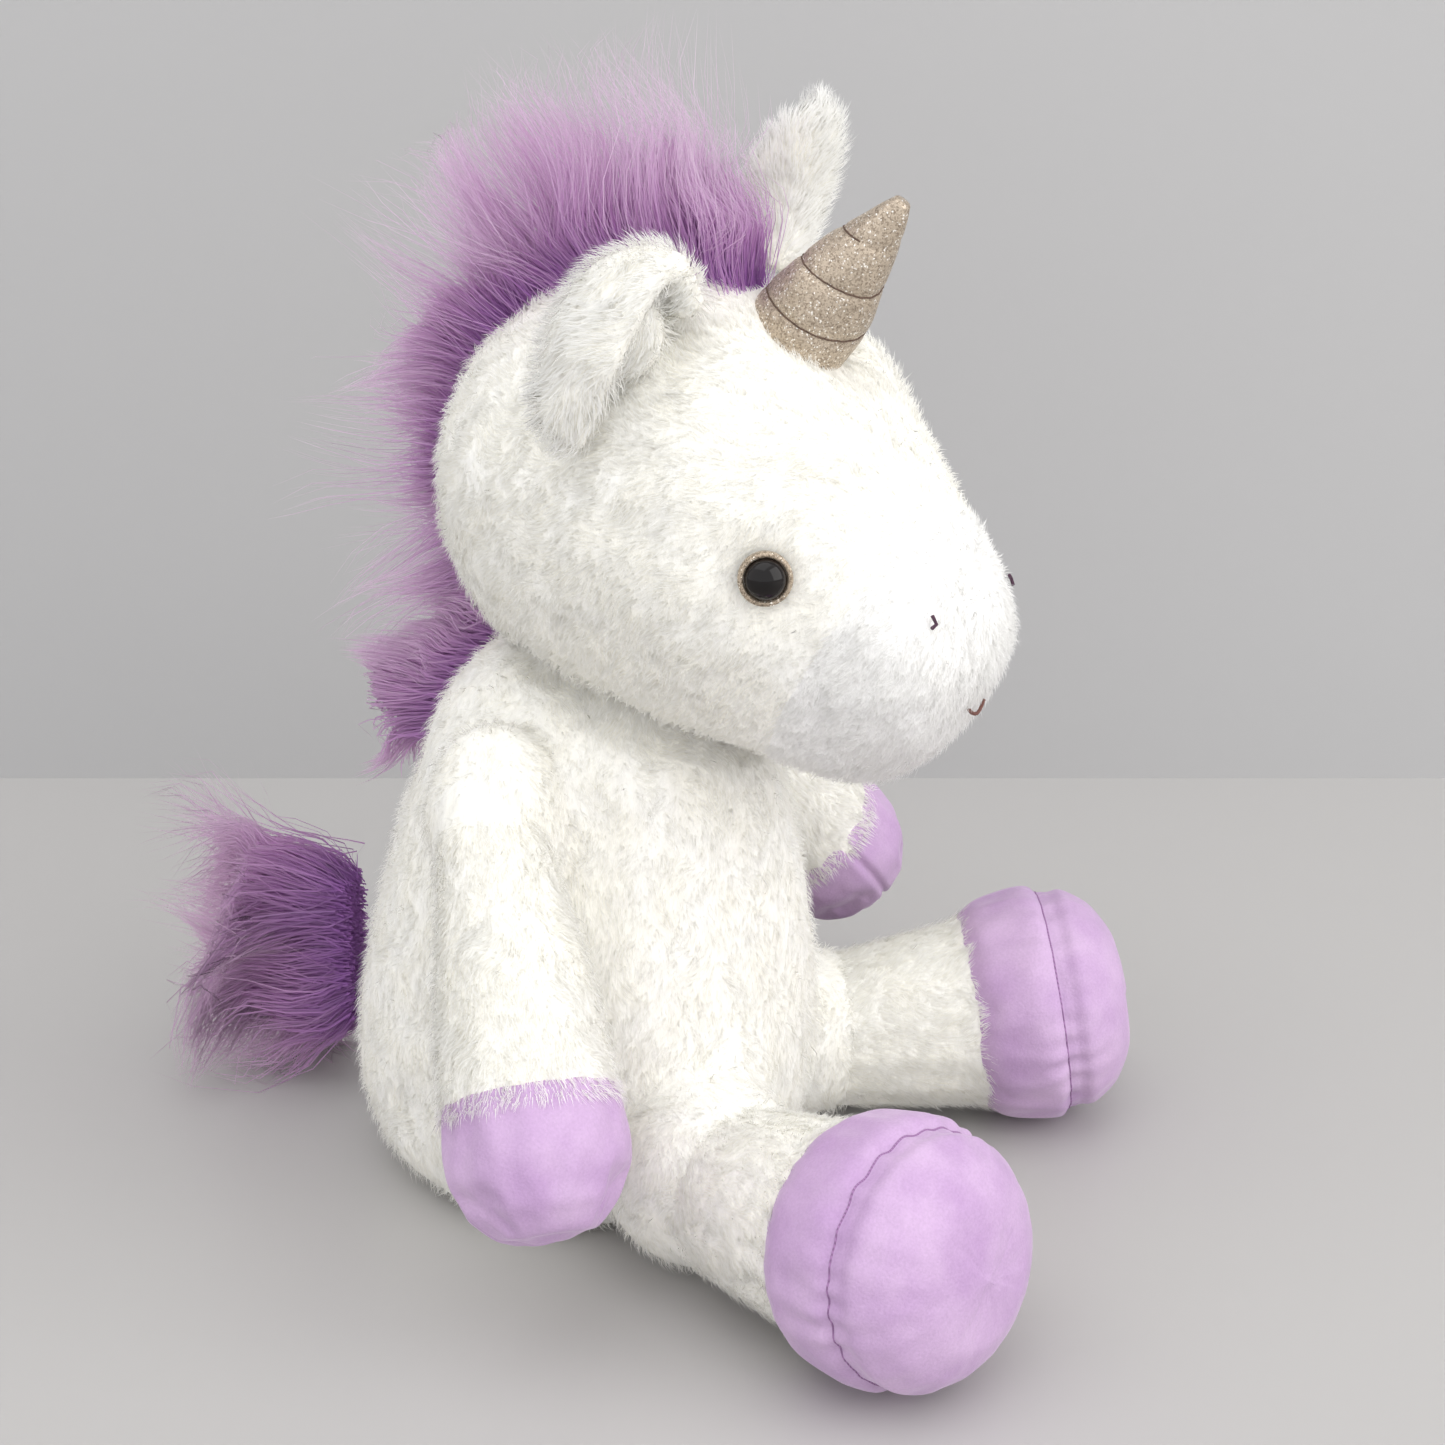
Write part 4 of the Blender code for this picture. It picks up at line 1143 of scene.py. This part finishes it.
def long_pile(name, places, outs, ways, lengths, body, seed, stands_for=(), share=40, pull=0.8,
              width=0.5 * MM, lift=0.9, droop=0.45, jitter=0.16, curl=0.006, look=PURPLE_PILE):
    """Long soft fibres gathered into pointed locks, flat to the sides of the toy."""
    rng = np.random.default_rng(seed)
    count = len(places)
    rows = 7
    paths = strands(places, outs, ways, lengths, rows, lift, droop, rng, share, pull, jitter)
    sway = swirl(paths.reshape(-1, 3), 0.05, seed).reshape(count, rows, 3)
    along = (np.linspace(0, 1, rows) ** 1.3)[None, :, None]
    paths = paths + sway * along * curl
    low, tip = paths[:, :1, 2:], paths[:, -1:, 2:]
    squeeze = np.clip((PILE_TOP - low) / np.maximum(tip - low, 1e-6), 0, 1)
    squeeze = np.where(tip > low, np.minimum(squeeze, 1), 1)
    paths[:, :, 2:] = low + (paths[:, :, 2:] - low) * squeeze
    widths = width * rng.uniform(0.7, 1.3, count)
    flat = rng.choice((-1.0, 1.0), count)[:, None] * np.array(HEAD_X)
    mesh = ribbon_mesh(name, paths, flat, widths, rng, soft=0.0)
    new_piece(name, mesh, look, body, stands_for)


def build_mane(skins):
    """Locks along the middle of the head, from behind the horn down to the nape."""
    rng = np.random.default_rng(51)
    heart = head_point(*MANE_HEART)
    for name, count, share, width, longer, look, spread, stands_for in (
            ("mane_head_locks", MANE_STRANDS, 90, 0.34 * MM, 0.80, PURPLE_PILE, 3.2, ("mane_head",)),
            ("mane_head_wisps", MANE_STRANDS // 3, 14, 0.26 * MM, 1.2, WISP_PILE, 5.0, ())):
        turns = rng.uniform(MANE_TURNS[0], MANE_TURNS[-1], count)
        lean = np.interp(turns, MANE_TURNS, MANE_LEAN) + swirl(turns[:, None] * 0.4 * MM
                                                              * np.ones((1, 3)), 0.012, 50)[:, 0] * 18
        lean = np.radians(lean + rng.normal(size=count) * 5)
        lengths = np.interp(turns, MANE_TURNS, MANE_LENGTHS) * longer * MM
        lengths = lengths * rng.uniform(0.5, 1.12, count)
        aside = rng.normal(size=count)
        locks = []
        for i in range(count):
            turn = math.radians(turns[i])
            out = HEAD_Y * -math.cos(turn) + UP * math.sin(turn)
            origin = heart + HEAD_X * aside[i] * spread * MM
            hit, normal = skins.ray_cast(origin + out * REACH, -out)[:2]
            if hit is not None:
                flow = HEAD_Y * math.sin(lean[i]) + UP * math.cos(lean[i])
                locks.append((hit, (normal + HEAD_X * aside[i] * 0.3).normalized(),
                              (flow + HEAD_X * aside[i] * 0.12).normalized(), lengths[i]))
        long_pile(name, *map(np.array, zip(*locks)), "head", 52, stands_for, share=share,
                  width=width, lift=0.42, droop=1.0, curl=0.008, look=look)

    low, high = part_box("mane_neck")
    locks = []
    for _ in range(MANE_NECK_STRANDS):
        z = rng.uniform(low.z + 4 * MM, high.z + 12 * MM)
        x = rng.normal() * 4.0 * MM
        hit, normal = skins.ray_cast(Vector((x, REACH, z)), Vector((0, -1, 0)))[:2]
        if hit is not None:
            height = (z - low.z) / (high.z + 12 * MM - low.z)
            locks.append((hit, (normal + Vector((0, 1, 0.1)) + Vector((x * 30, 0, 0))).normalized(),
                          (0.0, 0.35 + 0.35 * height, -0.6 + 0.55 * height),
                          rng.uniform(22, 34) * MM))
    long_pile("mane_neck_locks", *map(np.array, zip(*locks)), "torso", 53, ("mane_neck",),
              share=60, look=PINK_PILE)


def build_tail():
    """A bundle of locks fanning back from its sewn edge."""
    rng = np.random.default_rng(61)
    low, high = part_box("tail_core")
    count = TAIL_STRANDS
    share = rng.random(count)
    place = np.zeros((count, 3))
    place[:, 0] = rng.normal(size=count) * 2.6 * MM
    place[:, 1] = high.y - 2 * MM + rng.uniform(-1, 3, count) * MM
    place[:, 2] = low.z + (high.z - low.z) * share
    outs = unit(np.column_stack((rng.normal(size=count) * 0.5, np.ones(count), (share - 0.5) * 1.9)))
    ways = np.tile((0.0, 1.0, -0.5), (count, 1))
    lengths = rng.uniform(34, 69, count) * MM
    long_pile("tail_locks", place, outs, ways, lengths, "tail", 62, ("tail_pile", "tail_core"),
              share=64, pull=0.8, lift=1.0, droop=0.5, curl=0.015, jitter=0.34,
              look=TAIL_PILE)


# Details and studio


def finish_nodes():
    """Looks for the CAD pieces that stay as they are."""
    washer = mottled_material("washer_white", (0.85, 0.85, 0.86), 0.9, 300, Roughness=0.45)
    looks = {"mouth_stitch": MOUTH_THREAD}
    for side in SIDES:
        looks[side + "_nostril_stitch"] = NOSE_THREAD
        looks[side + "_eye_washer"] = washer
    for name, look in looks.items():
        mesh = NODES[name].data
        mesh.materials.clear()
        mesh.materials.append(look)


def build_label():
    """A blank woven loop in the side seam."""
    low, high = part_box("care_label")
    root = Vector((low.x, low.y, 0))
    across = Vector((high.x, high.y, 0)) - root
    side = Vector((across.y, -across.x, 0)).normalized()
    bm = bmesh.new()
    grid = []
    for i in range(13):
        share = i / 12
        bends = [math.sin(share * math.pi) * 0.6 * MM + math.sin(k * 0.8) * 0.15 * MM for k in range(9)]
        grid.append([bm.verts.new(root - across * 0.25 + across * 1.2 * share + side * bend
                                  + Vector((0, 0, low.z + (high.z - low.z) * k / 8)))
                     for k, bend in enumerate(bends)])
    for near, far in zip(grid, grid[1:]):
        for k in range(8):
            bm.faces.new((near[k], near[k + 1], far[k + 1], far[k]))
    mesh = to_mesh(bm, "label_tape")
    mesh.shade_smooth()
    # The satin's grooves get the darker grey: painted shade.
    satin = woven_material("label_satin", (0.80, 0.80, 0.81), (0.92, 0.92, 0.93), 0.5, 700, 0.4, 0.3)
    piece = new_piece("label_tape", mesh, satin, "torso", ("care_label",))
    thick = piece.modifiers.new("thick", "SOLIDIFY")
    thick.thickness = 0.4 * MM


def plane(name, corners, look):
    mesh = bpy.data.meshes.new(name)
    mesh.from_pydata(corners, [], [(0, 1, 2, 3)])
    mesh.materials.append(look)
    placed(name, mesh)


def build_studio():
    ahead = Vector((CAMERA_FORWARD.x, CAMERA_FORWARD.y, 0)).normalized()
    aside = Vector((ahead.y, -ahead.x, 0))
    foot = Vector((CAMERA_PLACE.x, CAMERA_PLACE.y, 0))
    edge = foot + ahead * WALL_DISTANCE
    table, wall = (mottled_material(name, colour, 0.985, 3.0, Roughness=rough, Specular_IOR_Level=0.3)
                   for name, colour, rough in (("table_white", TABLE_COLOUR, 0.35),
                                               ("wall_grey", WALL_COLOUR, 0.9)))
    left, right, top = edge - aside * 4, edge + aside * 4, Vector((0, 0, 3))
    near = foot - ahead * 3
    plane("table", [right, left, near - aside * 4, near + aside * 4], table)
    plane("wall", [left, right, right + top, left + top], wall)

    for name, (place, power, colour) in LIGHTS.items():
        light = bpy.data.lights.new(name, "AREA")
        light.size = LIGHT_SIZE
        light.energy = power
        light.color = colour
        lamp = placed(name, light)
        lamp.location = place
        lamp.rotation_euler = (LIGHT_AIM - Vector(place)).to_track_quat("-Z", "Y").to_euler()

    world = bpy.data.worlds.new("studio")
    world.use_nodes = True
    background = world.node_tree.nodes["Background"]
    background.inputs["Color"].default_value = SKY
    background.inputs["Strength"].default_value = SKY_STRENGTH
    scene.world = world
    scene.view_settings.view_transform = "Standard"

    camera = bpy.data.cameras.new("camera")
    camera.lens = CAMERA_LENS
    camera.sensor_width = 36
    camera.clip_start = 0.01
    scene.camera = placed("camera", camera)
    scene.camera.location = CAMERA_PLACE
    scene.camera.rotation_euler = CAMERA_FORWARD.to_track_quat("-Z", "Y").to_euler()


def main():
    build_coats()
    skins = cad_tree(["body_cover", "head_cover"])
    for side in SIDES:
        build_leg(side)
        build_arm(side)
        build_ear(side)
    for side, where in zip(SIDES, EYES):
        build_eye(side, where)
    build_horn()
    build_mane(skins)
    build_tail()
    build_label()
    finish_nodes()
    build_studio()


main()
